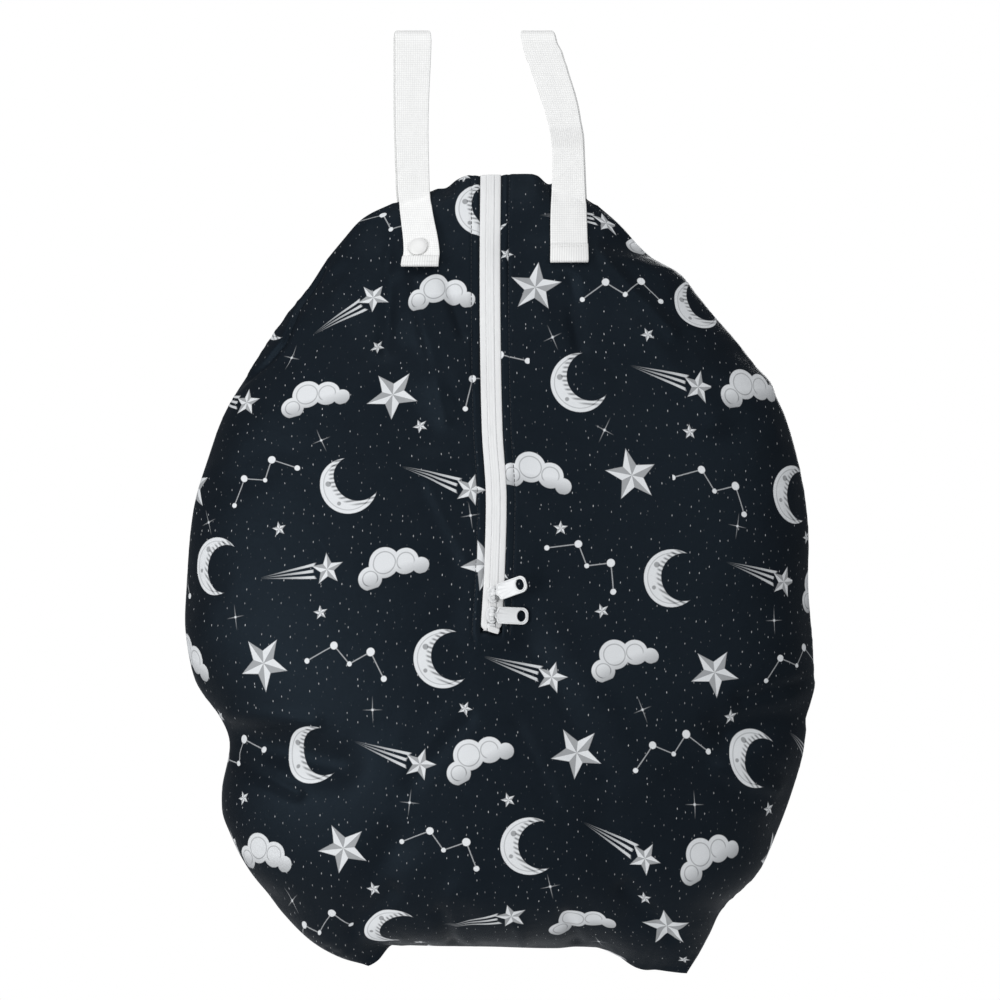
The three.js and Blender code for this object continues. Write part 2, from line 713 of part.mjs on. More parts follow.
// The stations along a loop, from its front end over the crown to its back end. The webbing is
// doubled over its hem, and thins to one layer within a step as long as a layer is thick.
function loopStations(loop) {
  const stations = [];
  const hemTop = 1 - loop.hem / loop.length;
  const single = hemTop - WEBBING_THICKNESS / loop.length;
  const drops = [1, hemTop];
  for (let step = 0; step <= LOOP_RUN_STEPS; step += 1) {
    drops.push(single * (1 - step / LOOP_RUN_STEPS));
  }
  const run = (panel) => drops.map((drop, index) => ({ panel, drop, doubled: index < 2 }));
  stations.push(...run(FRONT));
  for (let step = 1; step < LOOP_CROWN_STEPS; step += 1) {
    stations.push({ angle: Math.PI * (step / LOOP_CROWN_STEPS - 0.5), drop: 0, doubled: false });
  }
  stations.push(...run(BACK).reverse());
  return stations;
}

function loopGeometry(loop) {
  const stations = loopStations(loop);
  const inner = (column, row) => {
    const { panel, drop, angle } = stations[row];
    const side = panel === BACK ? 1 : 0;
    const swing = angle === undefined ? side : (angle / Math.PI) + 0.5;
    const shift = lookUp(loop.lean, "drop", "shift", drop) * WEBBING_WIDTH;
    const width = lookUp(loop.lean, "drop", "width", drop) * WEBBING_WIDTH;
    const x = loop.x + shift + loop.backShift * swing + width * (column / LOOP_COLUMNS - 0.5);
    if (angle !== undefined) {
      return new THREE.Vector3(x, LOOP_RADIUS * Math.sin(angle), LOOP_RADIUS * Math.cos(angle));
    }
    const z = -drop * loop.length;
    return new THREE.Vector3(x, panel.facing * runDepth(loop, panel, x, z), z);
  };
  const outer = (column, row) => {
    const before = inner(column, Math.max(0, row - 1));
    const after = inner(column, Math.min(stations.length - 1, row + 1));
    const left = inner(Math.max(0, column - 1), row);
    const right = inner(Math.min(LOOP_COLUMNS, column + 1), row);
    const outward = right.sub(left).cross(after.sub(before)).normalize();
    const layers = stations[row].doubled ? 2 : 1;
    return inner(column, row).addScaledVector(outward, layers * WEBBING_THICKNESS);
  };
  return slab(LOOP_COLUMNS, stations.length - 1, outer, inner);
}

// The snap on the left loop: a domed cap whose post goes through the webbing, and a base under it
const SNAP_POST_LENGTH = WEBBING_THICKNESS + SEAT_GAP;
const SNAP_FRAME = surfaceFrame(
  (x, z) => new THREE.Vector3(x, -runDepth(LEFT_LOOP, FRONT, x, z), z),
  SNAP_X,
  SNAP_Z,
  SNAP_BASE_RADIUS,
);

function turned(points) {
  return new THREE.LatheGeometry(points.map(([x, y]) => new THREE.Vector2(x, y)), ROUND_SIDES);
}

function snapCapGeometry() {
  const under = -SNAP_POST_LENGTH;
  const edge = under - SNAP_EDGE;
  const profile = [[0, edge - SNAP_DOME]];
  for (let step = 1; step <= DOME_STEPS; step += 1) {
    const angle = (Math.PI / 2) * (step / DOME_STEPS);
    profile.push([SNAP_RADIUS * Math.sin(angle), edge - SNAP_DOME * Math.cos(angle)]);
  }
  profile.push([SNAP_RADIUS, under], [SNAP_POST_RADIUS, under], [SNAP_POST_RADIUS, 0], [0, 0]);
  return turned(profile);
}

function snapBaseGeometry() {
  const geometry = new THREE.CylinderGeometry(
    SNAP_BASE_RADIUS,
    SNAP_BASE_RADIUS,
    SNAP_BASE_THICKNESS,
    ROUND_SIDES,
  );
  return geometry.translate(0, SEAT_GAP + SNAP_BASE_THICKNESS / 2, 0);
}

// The left loop has a hole for the snap's post.
function leftLoopGeometry() {
  const radius = SNAP_POST_RADIUS + SEAT_GAP;
  const drill = new THREE.CylinderGeometry(radius, radius, WEBBING_WIDTH / 2, ROUND_SIDES);
  drill.applyMatrix4(SNAP_FRAME.matrix);
  return geometryOf(solid(loopGeometry(LEFT_LOOP)).subtract(solid(drill)));
}

const PART = new THREE.Group();

function place(parent, name, geometry, finish) {
  const mesh = new THREE.Mesh(geometry, new THREE.MeshStandardMaterial(finish));
  mesh.name = name;
  parent.add(mesh);
  return mesh;
}

place(PART, "bag_front", panelGeometry(FRONT, besideTheSlot), COLOURS.cloth);
place(PART, "bag_back", panelGeometry(BACK), COLOURS.cloth);
place(PART, "zip_tape_left", tapeGeometry(-1), COLOURS.zip);
place(PART, "zip_tape_right", tapeGeometry(1), COLOURS.zip);
place(PART, "zip_coil", coilGeometry(), COLOURS.zip);
const endStopFrame = zipFrame(ZIP_LENGTH - END_STOP_TO_ZIP_END - END_STOP_LENGTH / 2);
PART.add(endStopFrame);
place(endStopFrame, "zip_end_stop", endStopGeometry(), COLOURS.plastic);
addSlider("upper", UPPER_SLIDER_TO_ZIP_END, UPPER_PULL_LIFT_DEG, UPPER_PULL_SKEW_DEG);
addSlider("lower", LOWER_SLIDER_TO_ZIP_END, LOWER_PULL_LIFT_DEG, LOWER_PULL_SKEW_DEG);
place(PART, "strap_left", leftLoopGeometry(), COLOURS.webbing);
place(PART, "strap_right", loopGeometry(RIGHT_LOOP), COLOURS.webbing);
PART.add(SNAP_FRAME);
place(SNAP_FRAME, "snap_cap", snapCapGeometry(), COLOURS.plastic);
place(SNAP_FRAME, "snap_base", snapBaseGeometry(), COLOURS.plastic);

export default PART;
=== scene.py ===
"""Looks of a filled, hanging cloth wet bag, with a zip down its front and two webbing loops.

Metres, +Z up. The rail that the bag hangs on runs along X through the origin, and the front faces -Y.
"""

import math

import bpy
import numpy as np
from mathutils import Matrix, Vector


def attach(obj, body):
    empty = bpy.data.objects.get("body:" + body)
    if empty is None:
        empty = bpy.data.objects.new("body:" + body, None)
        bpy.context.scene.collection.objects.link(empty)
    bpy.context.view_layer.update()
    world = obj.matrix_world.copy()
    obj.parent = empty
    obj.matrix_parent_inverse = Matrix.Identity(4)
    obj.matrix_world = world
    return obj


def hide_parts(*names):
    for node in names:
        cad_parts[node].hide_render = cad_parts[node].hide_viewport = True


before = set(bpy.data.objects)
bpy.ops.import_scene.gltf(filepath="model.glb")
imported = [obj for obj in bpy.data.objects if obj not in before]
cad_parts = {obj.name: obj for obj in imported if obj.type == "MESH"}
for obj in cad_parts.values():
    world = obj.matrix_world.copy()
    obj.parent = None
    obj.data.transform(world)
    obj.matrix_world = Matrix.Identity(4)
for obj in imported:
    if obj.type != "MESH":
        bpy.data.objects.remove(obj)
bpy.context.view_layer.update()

MM = 0.001

# Bag body
BAG_WIDTH = 449 * MM
BAG_HEIGHT = 568 * MM
FRONT_DEPTH = 88 * MM
BACK_DEPTH = 80 * MM
CLOTH_THICKNESS = 0.9 * MM
BAG_TOP = -95.7 * MM
SEAM_GAP = 0.3 * MM

# Webbing loops
WEBBING_WIDTH = 25 * MM
WEBBING_THICKNESS = 1.6 * MM
WEAVE_PITCH = 1.56 * MM
WEAVE_RISE = 0.1 * MM
LOOP_RADIUS = 6.3 * MM
DRAPE_GAP = 0.8 * MM
DRAPE_ROUNDING = 0.8 * MM

# Zip
ZIP_LENGTH = 326 * MM
ZIP_OPENING = 15 * MM
CHAIN_HALF_WIDTH = 3 * MM
ZIP_GAP = 0.3 * MM
CHAIN_END_ABOVE_ZIP_END = 7.3 * MM
STOP_ABOVE_ZIP_END = 4.75 * MM
UPPER_SLIDER_TO_ZIP_END = 27 * MM
LOWER_SLIDER_TO_ZIP_END = 12.5 * MM

# Sliders and pull tabs
SLIDER_LENGTH = 12 * MM
SLIDER_WIDTH = 8.4 * MM
SLIDER_TOP = 2.1 * MM
CHANNEL_TOP = 0.8 * MM
CHEEK_WIDTH = 1.3 * MM
BRIDGE_AXIS = 5 * MM
PULL_REACH = 26 * MM
PULL_WIDTH = 12 * MM
PULL_THICKNESS = 1.5 * MM
EYE_INNER_RADIUS = 1.7 * MM
EYE_OUTER_RADIUS = 2.5 * MM
EYE_LENGTH = 2.6 * MM
UPPER_PULL_LIFT_DEG = 20
UPPER_PULL_SKEW_DEG = 17
LOWER_PULL_LIFT_DEG = -8.5
LOWER_PULL_SKEW_DEG = -2

# Snap on the left loop
SNAP_RADIUS = 6.8 * MM
SNAP_ABOVE_LOOP_END = 13.5 * MM
SNAP_SHIFT = -1.2 * MM
SNAP_BASE_RADIUS = 5.2 * MM
SNAP_BASE_THICKNESS = 3 * MM
SEAT_GAP = 0.3 * MM
STAND_OFF_FADE = 26 * MM


def table(columns, rows):
    """Rows of numbers as an array for each named column."""
    return dict(zip(columns.split(), np.array(rows, float).T))


# Sections from the top hem to the bottom seam. Drops are shares of the bag's height, left and right
# are shares of its width, and front and back are shares of the depths.
SECTIONS = table(
    "left_drop left right_drop right front back",
    [
        [0.036, -0.169, 0.038, 0.154, 0.0, 0.0], [0.058, -0.219, 0.067, 0.194, 0.15, 0.13],
        [0.101, -0.269, 0.102, 0.235, 0.27, 0.24], [0.142, -0.304, 0.127, 0.285, 0.37, 0.34],
        [0.195, -0.355, 0.179, 0.343, 0.48, 0.45], [0.242, -0.393, 0.221, 0.388, 0.57, 0.55],
        [0.297, -0.436, 0.286, 0.444, 0.67, 0.66], [0.353, -0.463, 0.358, 0.474, 0.76, 0.76],
        [0.421, -0.488, 0.434, 0.49, 0.85, 0.86], [0.513, -0.499, 0.522, 0.491, 0.94, 0.95],
        [0.585, -0.499, 0.597, 0.498, 0.98, 0.99], [0.655, -0.467, 0.654, 0.498, 1.0, 1.0],
        [0.713, -0.431, 0.717, 0.485, 0.99, 0.98], [0.774, -0.439, 0.774, 0.464, 0.97, 0.95],
        [0.823, -0.433, 0.826, 0.439, 0.93, 0.9], [0.873, -0.401, 0.881, 0.407, 0.86, 0.82],
        [0.918, -0.351, 0.921, 0.36, 0.75, 0.71], [0.96, -0.299, 0.953, 0.332, 0.57, 0.54],
        [0.982, -0.251, 0.979, 0.312, 0.33, 0.31], [0.99, -0.205, 1.0, 0.293, 0.0, 0.0],
    ],
)
TOP_HEM = table(
    "across drop",
    [
        [0, 0.036], [0.19, 0.021], [0.27, 0.013], [0.37, 0.001], [0.68, 0], [0.76, 0.007],
        [0.86, 0.015], [1, 0.038],
    ],
)
BOTTOM_SEAM = table(
    "across drop",
    [
        [0, 0.99], [0.07, 0.973], [0.13, 0.968], [0.44, 0.969], [0.72, 0.97], [0.83, 0.987],
        [0.91, 0.995], [1, 1],
    ],
)

# Where the middle of the zip runs: drop as a share of the zip's length, shift as a share of the width.
ZIP_LINE = table(
    "drop shift",
    [[0, -0.015], [0.2, -0.016], [0.4, -0.015], [0.57, -0.012], [0.7, -0.006], [0.88, -0.009], [1, -0.014]],
)

# Folds of a panel, each along a line between two places. Places are shares of the way across and down
# the panel, spread is a share of the width and rise a share of the depth.
FOLD_COLUMNS = "from_across from_down to_across to_down spread rise"
FRONT_FOLDS = table(
    FOLD_COLUMNS,
    [
        [0.3, 0.16, 0.42, 0.3, 0.03, 0.06], [0.22, 0.2, 0.36, 0.36, 0.035, -0.05],
        [0.56, 0.14, 0.72, 0.3, 0.035, -0.07], [0.74, 0.16, 0.86, 0.34, 0.03, 0.05],
        [0.54, 0.54, 0.66, 0.68, 0.035, -0.05], [0.6, 0.5, 0.74, 0.66, 0.04, 0.05],
        [0.02, 0.63, 0.2, 0.66, 0.035, -0.1], [0.86, 0.62, 0.99, 0.6, 0.03, -0.09],
        [0.16, 0.86, 0.3, 0.76, 0.03, -0.06], [0.8, 0.86, 0.68, 0.74, 0.035, -0.07],
        [0.4, 0.84, 0.62, 0.86, 0.03, 0.04],
    ],
)
BACK_FOLDS = table(
    FOLD_COLUMNS,
    [
        [0.3, 0.12, 0.4, 0.34, 0.035, -0.07], [0.66, 0.12, 0.56, 0.36, 0.04, -0.07],
        [0.48, 0.1, 0.5, 0.3, 0.035, 0.06], [0.04, 0.62, 0.24, 0.68, 0.035, -0.09],
        [0.96, 0.6, 0.78, 0.66, 0.035, -0.09], [0.2, 0.86, 0.36, 0.74, 0.035, -0.07],
        [0.78, 0.88, 0.64, 0.76, 0.035, -0.07],
    ],
)

# Sharper creases, laid over the folds
FRONT_CREASES = table(
    FOLD_COLUMNS,
    [
        [0.29, 0.17, 0.4, 0.34, 0.012, 0.03], [0.34, 0.13, 0.43, 0.25, 0.009, -0.025],
        [0.38, 0.4, 0.45, 0.46, 0.01, 0.022], [0.2, 0.12, 0.27, 0.26, 0.012, -0.03],
        [0.72, 0.12, 0.66, 0.27, 0.012, -0.03], [0.8, 0.13, 0.86, 0.25, 0.012, 0.025],
        [0.5, 0.62, 0.58, 0.7, 0.012, -0.022], [0.42, 0.61, 0.33, 0.68, 0.013, -0.02],
        [0.02, 0.655, 0.13, 0.69, 0.012, -0.045], [0.03, 0.6, 0.16, 0.61, 0.014, 0.03],
        [0.88, 0.585, 0.98, 0.565, 0.011, -0.035], [0.86, 0.66, 0.97, 0.68, 0.013, 0.03],
        [0.1, 0.9, 0.26, 0.83, 0.013, -0.04], [0.9, 0.9, 0.76, 0.82, 0.014, -0.045],
        [0.3, 0.96, 0.34, 0.87, 0.012, -0.04], [0.5, 0.97, 0.52, 0.9, 0.012, 0.03],
        [0.66, 0.97, 0.64, 0.88, 0.012, -0.035],
    ],
)
BACK_CREASES = table(
    FOLD_COLUMNS,
    [
        [0.28, 0.12, 0.34, 0.26, 0.012, 0.03], [0.7, 0.12, 0.63, 0.28, 0.012, -0.03],
        [0.44, 0.08, 0.46, 0.22, 0.012, -0.025], [0.58, 0.08, 0.55, 0.24, 0.012, 0.025],
        [0.05, 0.65, 0.2, 0.7, 0.013, -0.04], [0.95, 0.63, 0.82, 0.69, 0.013, -0.04],
        [0.14, 0.9, 0.28, 0.82, 0.013, -0.04], [0.86, 0.9, 0.74, 0.81, 0.013, -0.04],
        [0.44, 0.96, 0.42, 0.86, 0.012, 0.03], [0.58, 0.97, 0.6, 0.87, 0.012, -0.035],
    ],
)

# The left side seam, where it shows on the front: its places in the front view, in millimetres
SIDE_SEAM = table(
    "x z",
    [
        [-124, -160], [-132.1, -173.5], [-141.4, -188.5], [-152.9, -216.4], [-166, -230], [-178, -240],
        [-190, -251],
    ],
)
SIDE_SEAM_DEPTH = 1.5 * MM
SIDE_SEAM_WIDTH = 1.7 * MM
SIDE_SEAM_STEP = 1.3 * MM
SIDE_SEAM_REACH = 14 * MM

# How far the finished outline stands outside the sections, in millimetres. Drops are shares of the
# bag's height and across is a share of its width.
LEFT_TRIM = table(
    "drop push",
    [
        [0, -1], [0.035, 0.6], [0.05, 2.2], [0.08, 0.6], [0.2, 0.3], [0.58, -0.3], [0.6, 0.6],
        [0.625, 2.6], [0.64, 3.2], [0.655, 1.6], [0.67, -1], [0.69, -1.3], [0.74, 0.9], [0.8, 1.6],
        [0.83, -0.8], [0.9, 0], [0.925, 2.6], [0.97, 2.6], [1, 2],
    ],
)
RIGHT_TRIM = table(
    "drop push",
    [
        [0, -2], [0.05, 1], [0.08, 0.8], [0.125, 2.4], [0.15, 0.2], [0.24, 0.2], [0.26, 2.6],
        [0.28, 0], [0.63, 0], [0.64, 1], [0.665, -1.3], [0.683, -4], [0.7, -1.5], [0.73, 0.2],
        [0.87, 0.6], [0.9, -2.2], [0.925, -2], [0.955, 1], [1, 1.8],
    ],
)
HEM_TRIM = table(
    "across push",
    [
        [-0.24, 0], [-0.2, 1.2], [-0.17, 0.4], [-0.1, 0.5], [-0.085, -1], [-0.07, 1], [-0.05, 0.5],
        [-0.034, -0.7], [0.004, -0.7], [0.02, 0.4], [0.06, 0.6], [0.076, -2.5], [0.09, 0.4],
        [0.17, -0.2], [0.24, -0.6],
    ],
)
SEAM_TRIM = table(
    "across push",
    [
        [-0.36, 4], [-0.325, 3], [-0.305, 0], [-0.25, 1.8], [-0.22, 2.4], [-0.19, 2.2], [-0.172, -2.5],
        [-0.155, 0], [-0.1, 1], [0, 1], [0.09, 2.2], [0.12, 1], [0.19, 1], [0.21, 3.9], [0.229, 4.4],
        [0.247, 2.6], [0.3, 2.2], [0.33, 2.2], [0.345, -1.8], [0.38, -1],
    ],
)
# How far in from the border the trim is felt
TRIM_REACH = 18 * MM

# How a loop's webbing leans: drop is a share of the way from the rail to the loop's end, shift and
# width are shares of the webbing's width.
LEAN_COLUMNS = "drop shift width"
LEFT_LOOP = {
    "x": -56.8 * MM,
    "length": 162 * MM,
    "hem": 6.5 * MM,
    "back_shift": -1.5 * MM,
    "stand_off": SNAP_BASE_THICKNESS + SEAT_GAP,
    "bend": None,
    "lean": table(
        LEAN_COLUMNS,
        [
            [0, -0.2, 1.03], [0.35, -0.24, 0.94], [0.66, -0.19, 0.91], [0.73, -0.13, 0.92],
            [0.92, 0.04, 1.01], [1, 0, 1.04],
        ],
    ),
    "crown_shift": 0.0,
}
RIGHT_LOOP = {
    "x": 49.3 * MM,
    "length": 159 * MM,
    "hem": 12 * MM,
    "back_shift": 1 * MM,
    "stand_off": 0.0,
    # The band of the front run, from 60 to 78 mm below the rail, where the webbing bends: it gets fine ribs
    # and painted shade in its colour, and its shape stays unbent.
    "bend": (60 * MM, 78 * MM),
    "lean": table(
        LEAN_COLUMNS,
        [
            [0, -0.86, 0.97], [0.045, -0.76, 1.06], [0.11, -0.61, 1.04], [0.26, -0.31, 1],
            [0.36, -0.15, 0.93], [0.43, -0.06, 0.91], [0.55, -0.02, 0.9], [0.8, -0.02, 1.03],
            [1, 0, 1.06],
        ],
    ),
    "crown_shift": -1.6 * MM,
}


def through_rows(values, place):
    """A smooth curve through evenly spaced values, read at places from 0 to the last one's number."""
    last = len(values) - 1
    place = np.clip(place, 0, last)
    index = np.minimum(np.floor(place).astype(int), last - 1)
    share = place - index
    before, start, end, after = (values[np.clip(index + step, 0, last)] for step in (-1, 0, 1, 2))
    slope_in = (end - before) / 2
    slope_out = (after - start) / 2
    rise = end - start
    bend = slope_in + slope_out - 2 * rise
    return start + share * (slope_in + share * (3 * rise - 2 * slope_in - slope_out + share * bend))


def along_rows(rows, column, share):
    """A column of a table at a share of the way through its rows."""
    return through_rows(rows[column], np.asarray(share) * (len(rows[column]) - 1))


def look_up(rows, key, column, at):
    """A column of a table where another column, which grows row by row, has a given value."""
    keys = rows[key]
    at = np.clip(at, keys[0], keys[-1])
    index = np.clip(np.searchsorted(keys, at, side="left") - 1, 0, len(keys) - 2)
    share = (at - keys[index]) / (keys[index + 1] - keys[index])
    return through_rows(rows[column], index + share)


def mix(start, end, share):
    return start + (end - start) * share


def eased(share):
    """A share from 0 to 1 that starts and ends softly."""
    share = np.clip(share, 0, 1)
    return share * share * (3 - 2 * share)


def ring_angles(count):
    return np.linspace(0, 2 * math.pi, count, endpoint=False)


def fuller(wave, power):
    """A sine or cosine with fuller bulges, for rings between an ellipse and a rectangle."""
    return np.sign(wave) * np.abs(wave) ** power


def quarter_round(share):
    """The height of a quarter circle at a share of the way in from its edge."""
    return np.sqrt(1 - (1 - share) ** 2)


def outline(across, down):
    """The places x and z in the front view of points of the panels' grid."""
    drop = mix(along_rows(SECTIONS, "left_drop", down), along_rows(SECTIONS, "right_drop", down), across)
    hem_line = mix(SECTIONS["left_drop"][0], SECTIONS["right_drop"][0], across)
    seam_line = mix(SECTIONS["left_drop"][-1], SECTIONS["right_drop"][-1], across)
    hem_bow = (look_up(TOP_HEM, "across", "drop", across) - hem_line) * (1 - down) ** 2
    seam_bow = (look_up(BOTTOM_SEAM, "across", "drop", across) - seam_line) * down**4
    x = mix(along_rows(SECTIONS, "left", down), along_rows(SECTIONS, "right", down), across) * BAG_WIDTH
    return x, BAG_TOP - (drop + hem_bow + seam_bow) * BAG_HEIGHT


def laid_folds(rows):
    """The folds of a table as lines in the front view: start, line, spread and rise of each."""
    start = np.stack(outline(rows["from_across"], rows["from_down"]), -1)
    end = np.stack(outline(rows["to_across"], rows["to_down"]), -1)
    return list(zip(start, end - start, rows["spread"] * BAG_WIDTH, rows["rise"]))


def fold_rise(folds, x, z):
    """How much folds lift places, as a share of the depth."""
    total = np.zeros_like(x)
    for start, line, spread, rise in folds:
        offset_x = x - start[0]
        offset_z = z - start[1]
        along = np.clip((offset_x * line[0] + offset_z * line[1]) / (line @ line), 0, 1)
        beside = np.hypot(offset_x - along * line[0], offset_z - along * line[1]) / spread
        total = total + rise * np.exp(-beside * beside)
    return total


FRONT = {"facing": -1, "depth": FRONT_DEPTH, "column": "front", "folds": laid_folds(FRONT_FOLDS)}
BACK = {"facing": 1, "depth": BACK_DEPTH, "column": "back", "folds": laid_folds(BACK_FOLDS)}

# Folds fade out towards the seam, where a panel has less than this share of its full depth.
FOLDED_FROM = 0.5


def panel_depth(panel, across, down):
    """A panel's depth in front of or behind the seam plane."""
    roundness = np.sqrt(np.maximum(0, 1 - (2 * across - 1) ** 2))
    full = along_rows(SECTIONS, panel["column"], down) * roundness
    rise = fold_rise(panel["folds"], *outline(across, down))
    return panel["depth"] * (full + rise * np.minimum(1, full / FOLDED_FROM))


# A small step over the panels' grid
PROBE = 0.002


def inward(across, down):
    """The direction into a panel from its border, in the front view: nothing in the panel's middle."""
    a = np.clip(across, PROBE, 1 - PROBE)
    d = np.clip(down, PROBE, 1 - PROBE)
    row = np.subtract(outline(a + PROBE, d), outline(a - PROBE, d))
    column = np.subtract(outline(a, d + PROBE), outline(a, d - PROBE))
    row = row / np.linalg.norm(row, axis=0)
    column = column / np.linalg.norm(column, axis=0)
    from_sides = (1 - 2 * across) ** 3
    from_hem = (1 - 2 * down) ** 3
    return -column[1] * from_sides + row[1] * from_hem, column[0] * from_sides - row[0] * from_hem


def panel_point(panel, across, down, sink):
    """Points of a panel, sunk below its outer face by a given depth."""
    x, z = outline(across, down)
    inward_x, inward_z = inward(across, down)
    pull = np.maximum(0, sink)
    depth = np.maximum(0, panel_depth(panel, across, down) - sink)
    y = panel["facing"] * (SEAM_GAP / 2 + depth)
    return np.stack([x + inward_x * pull, y, z + inward_z * pull], -1)


def down_at(across, z):
    """The share of the grid that lies at a height in the front view, in the column at a share across."""
    low = np.zeros(np.broadcast(across, z).shape)
    high = np.ones_like(low)
    for _ in range(30):
        middle = (low + high) / 2
        above = outline(across, middle)[1] > z
        low = np.where(above, middle, low)
        high = np.where(above, high, middle)
    return (low + high) / 2


def across_at(down, x):
    left = outline(0.0, down)[0]
    right = outline(1.0, down)[0]
    return np.clip((x - left) / (right - left), 0, 1)


def grid_at(x, z):
    """The grid's shares across and down under places in the front view."""
    across = np.full(np.broadcast(x, z).shape, 0.5)
    for _ in range(6):
        down = down_at(across, z)
        across = across_at(down, x)
    return across, down


ZIP_ACROSS = grid_at(ZIP_LINE["shift"][0] * BAG_WIDTH, BAG_TOP)[0]


def zip_middle(down):
    drop = BAG_TOP - outline(ZIP_ACROSS, down)[1]
    return look_up(ZIP_LINE, "drop", "shift", drop / ZIP_LENGTH) * BAG_WIDTH


def beside_zip(down, distance):
    return across_at(down, zip_middle(down) + distance)


ZIP_END_DOWN = float(grid_at(zip_middle(1.0), BAG_TOP - ZIP_LENGTH)[1])


# Meshes

def thin_wall(outer, inner, keep=None):
    """Points and faces of a closed wall between two grids, without the cells that keep leaves out."""
    rows, columns = outer.shape[0] - 1, outer.shape[1] - 1
    keep = np.ones((rows, columns), bool) if keep is None else keep
    layer = (rows + 1) * (columns + 1)
    number = np.arange(layer).reshape(rows + 1, columns + 1)
    cells = np.stack([number[:-1, :-1], number[1:, :-1], number[1:, 1:], number[:-1, 1:]], -1)
    faces = [cells[keep], cells[keep][:, ::-1] + layer]
    around = np.pad(keep, 1)
    for side, (down, right) in enumerate([(0, -1), (1, 0), (0, 1), (-1, 0)]):
        beside = around[1 + down : rows + 1 + down, 1 + right : columns + 1 + right]
        rim = keep & ~beside
        start = cells[..., side][rim]
        end = cells[..., (side + 1) % 4][rim]
        faces.append(np.stack([end, start, start + layer, end + layer], -1))
    points = np.concatenate([outer.reshape(-1, 3), inner.reshape(-1, 3)])
    return points, np.concatenate(faces)


def loft(rings, closed_round=False):
    """Points and faces of a closed body through rings of as many points each. Its ends are filled, or
    its last ring joins the first."""
    count = len(rings[0])
    points = np.concatenate(rings)
    around = np.arange(count)
    after = (around + 1) % count
    faces = []
    pairs = len(rings) if closed_round else len(rings) - 1
    for ring in range(pairs):
        near = ring * count
        far = ((ring + 1) % len(rings)) * count
        faces += np.stack([near + around, near + after, far + after, far + around], -1).tolist()
    if not closed_round:
        faces.append((around[::-1]).tolist())
        faces.append((around + (len(rings) - 1) * count).tolist())
    return points, faces


def joined(parts):
    """Several bodies as one list of points and one of faces."""
    points, faces, count = [], [], 0
    for part_points, part_faces in parts:
        points.append(np.asarray(part_points))
        faces += [[number + count for number in face] for face in np.asarray(part_faces, object).tolist()]
        count += len(part_points)
    return np.concatenate(points), faces


def with_depth(places, depth):
    """Places on the flat cloth with a third number beside the two."""
    return np.concatenate([places, np.broadcast_to(depth, places.shape[:-1])[..., None]], -1)


def facing_out(mesh):
    """Turns a closed mesh's faces outwards, where they look in."""
    mesh.calc_loop_triangles()
    corners = np.array([triangle.vertices for triangle in mesh.loop_triangles])
    places = np.array([vertex.co for vertex in mesh.vertices])
    a, b, c = (places[corners[:, side]] for side in range(3))
    if np.einsum("ij,ij->i", a, np.cross(b, c)).sum() < 0:
        mesh.flip_normals()


def piece(
    name, body, material, slot, points, faces, nodes=(), cloth_places=None, matrix=None, crisp_deg=None
):
    """Adds a piece of the object that rides on a body and stands for CAD nodes."""
    mesh = bpy.data.meshes.new(name)
    points = np.asarray(points, float)
    used, renumbered = np.unique(np.concatenate([np.ravel(face) for face in faces]), return_inverse=True)
    sizes = [len(face) for face in faces]
    ends = np.cumsum(sizes)
    new_faces = [renumbered[end - size : end].tolist() for size, end in zip(sizes, ends)]
    mesh.from_pydata(points[used].tolist(), [], new_faces)
    if matrix is not None:
        mesh.transform(matrix)
    if cloth_places is not None:
        attribute = mesh.attributes.new("cloth_place", "FLOAT_VECTOR", "POINT")
        places = np.zeros((len(used), 3), np.float32)
        cloth_places = np.asarray(cloth_places)
        places[:, : cloth_places.shape[1]] = cloth_places[used]
        attribute.data.foreach_set("vector", places.ravel())
    mesh.validate()
    facing_out(mesh)
    mesh.shade_smooth()
    if crisp_deg is not None:
        mesh.set_sharp_from_angle(angle=math.radians(crisp_deg))
    mesh.materials.append(material)
    made = bpy.data.objects.new(name, mesh)
    bpy.context.scene.collection.objects.link(made)
    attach(made, body)
    if nodes:
        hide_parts(*nodes)
    return made


def wall_piece(name, material, slot, outer, inner, places, nodes=(), keep=None):
    """Adds a closed wall between two grids, with the same places on the flat cloth on both faces."""
    points, faces = thin_wall(outer, inner, keep)
    flat = places.reshape(-1, places.shape[-1])
    return piece(name, "bag", material, slot, points, faces, nodes, np.tile(flat, (2, 1)))


def normals_of(points):
    """Unit normals of a grid of points. For a grid that runs right and down, they face -Y."""
    normal = np.cross(np.gradient(points, axis=0), np.gradient(points, axis=1))
    return normal / np.maximum(1e-12, np.linalg.norm(normal, axis=-1, keepdims=True))


def run_lengths(points, axis):
    """The length along a grid's rows or columns from their start."""
    steps = np.linalg.norm(np.diff(points, axis=axis), axis=-1)
    pad = [(1, 0), (0, 0)] if axis == 0 else [(0, 0), (1, 0)]
    return np.cumsum(np.pad(steps, pad), axis=axis)


# Materials

def operator(operation):
    """A method that works out a number from a number and others, with one node."""

    def method(self, *others):
        return self.made(operation, *others)

    return method


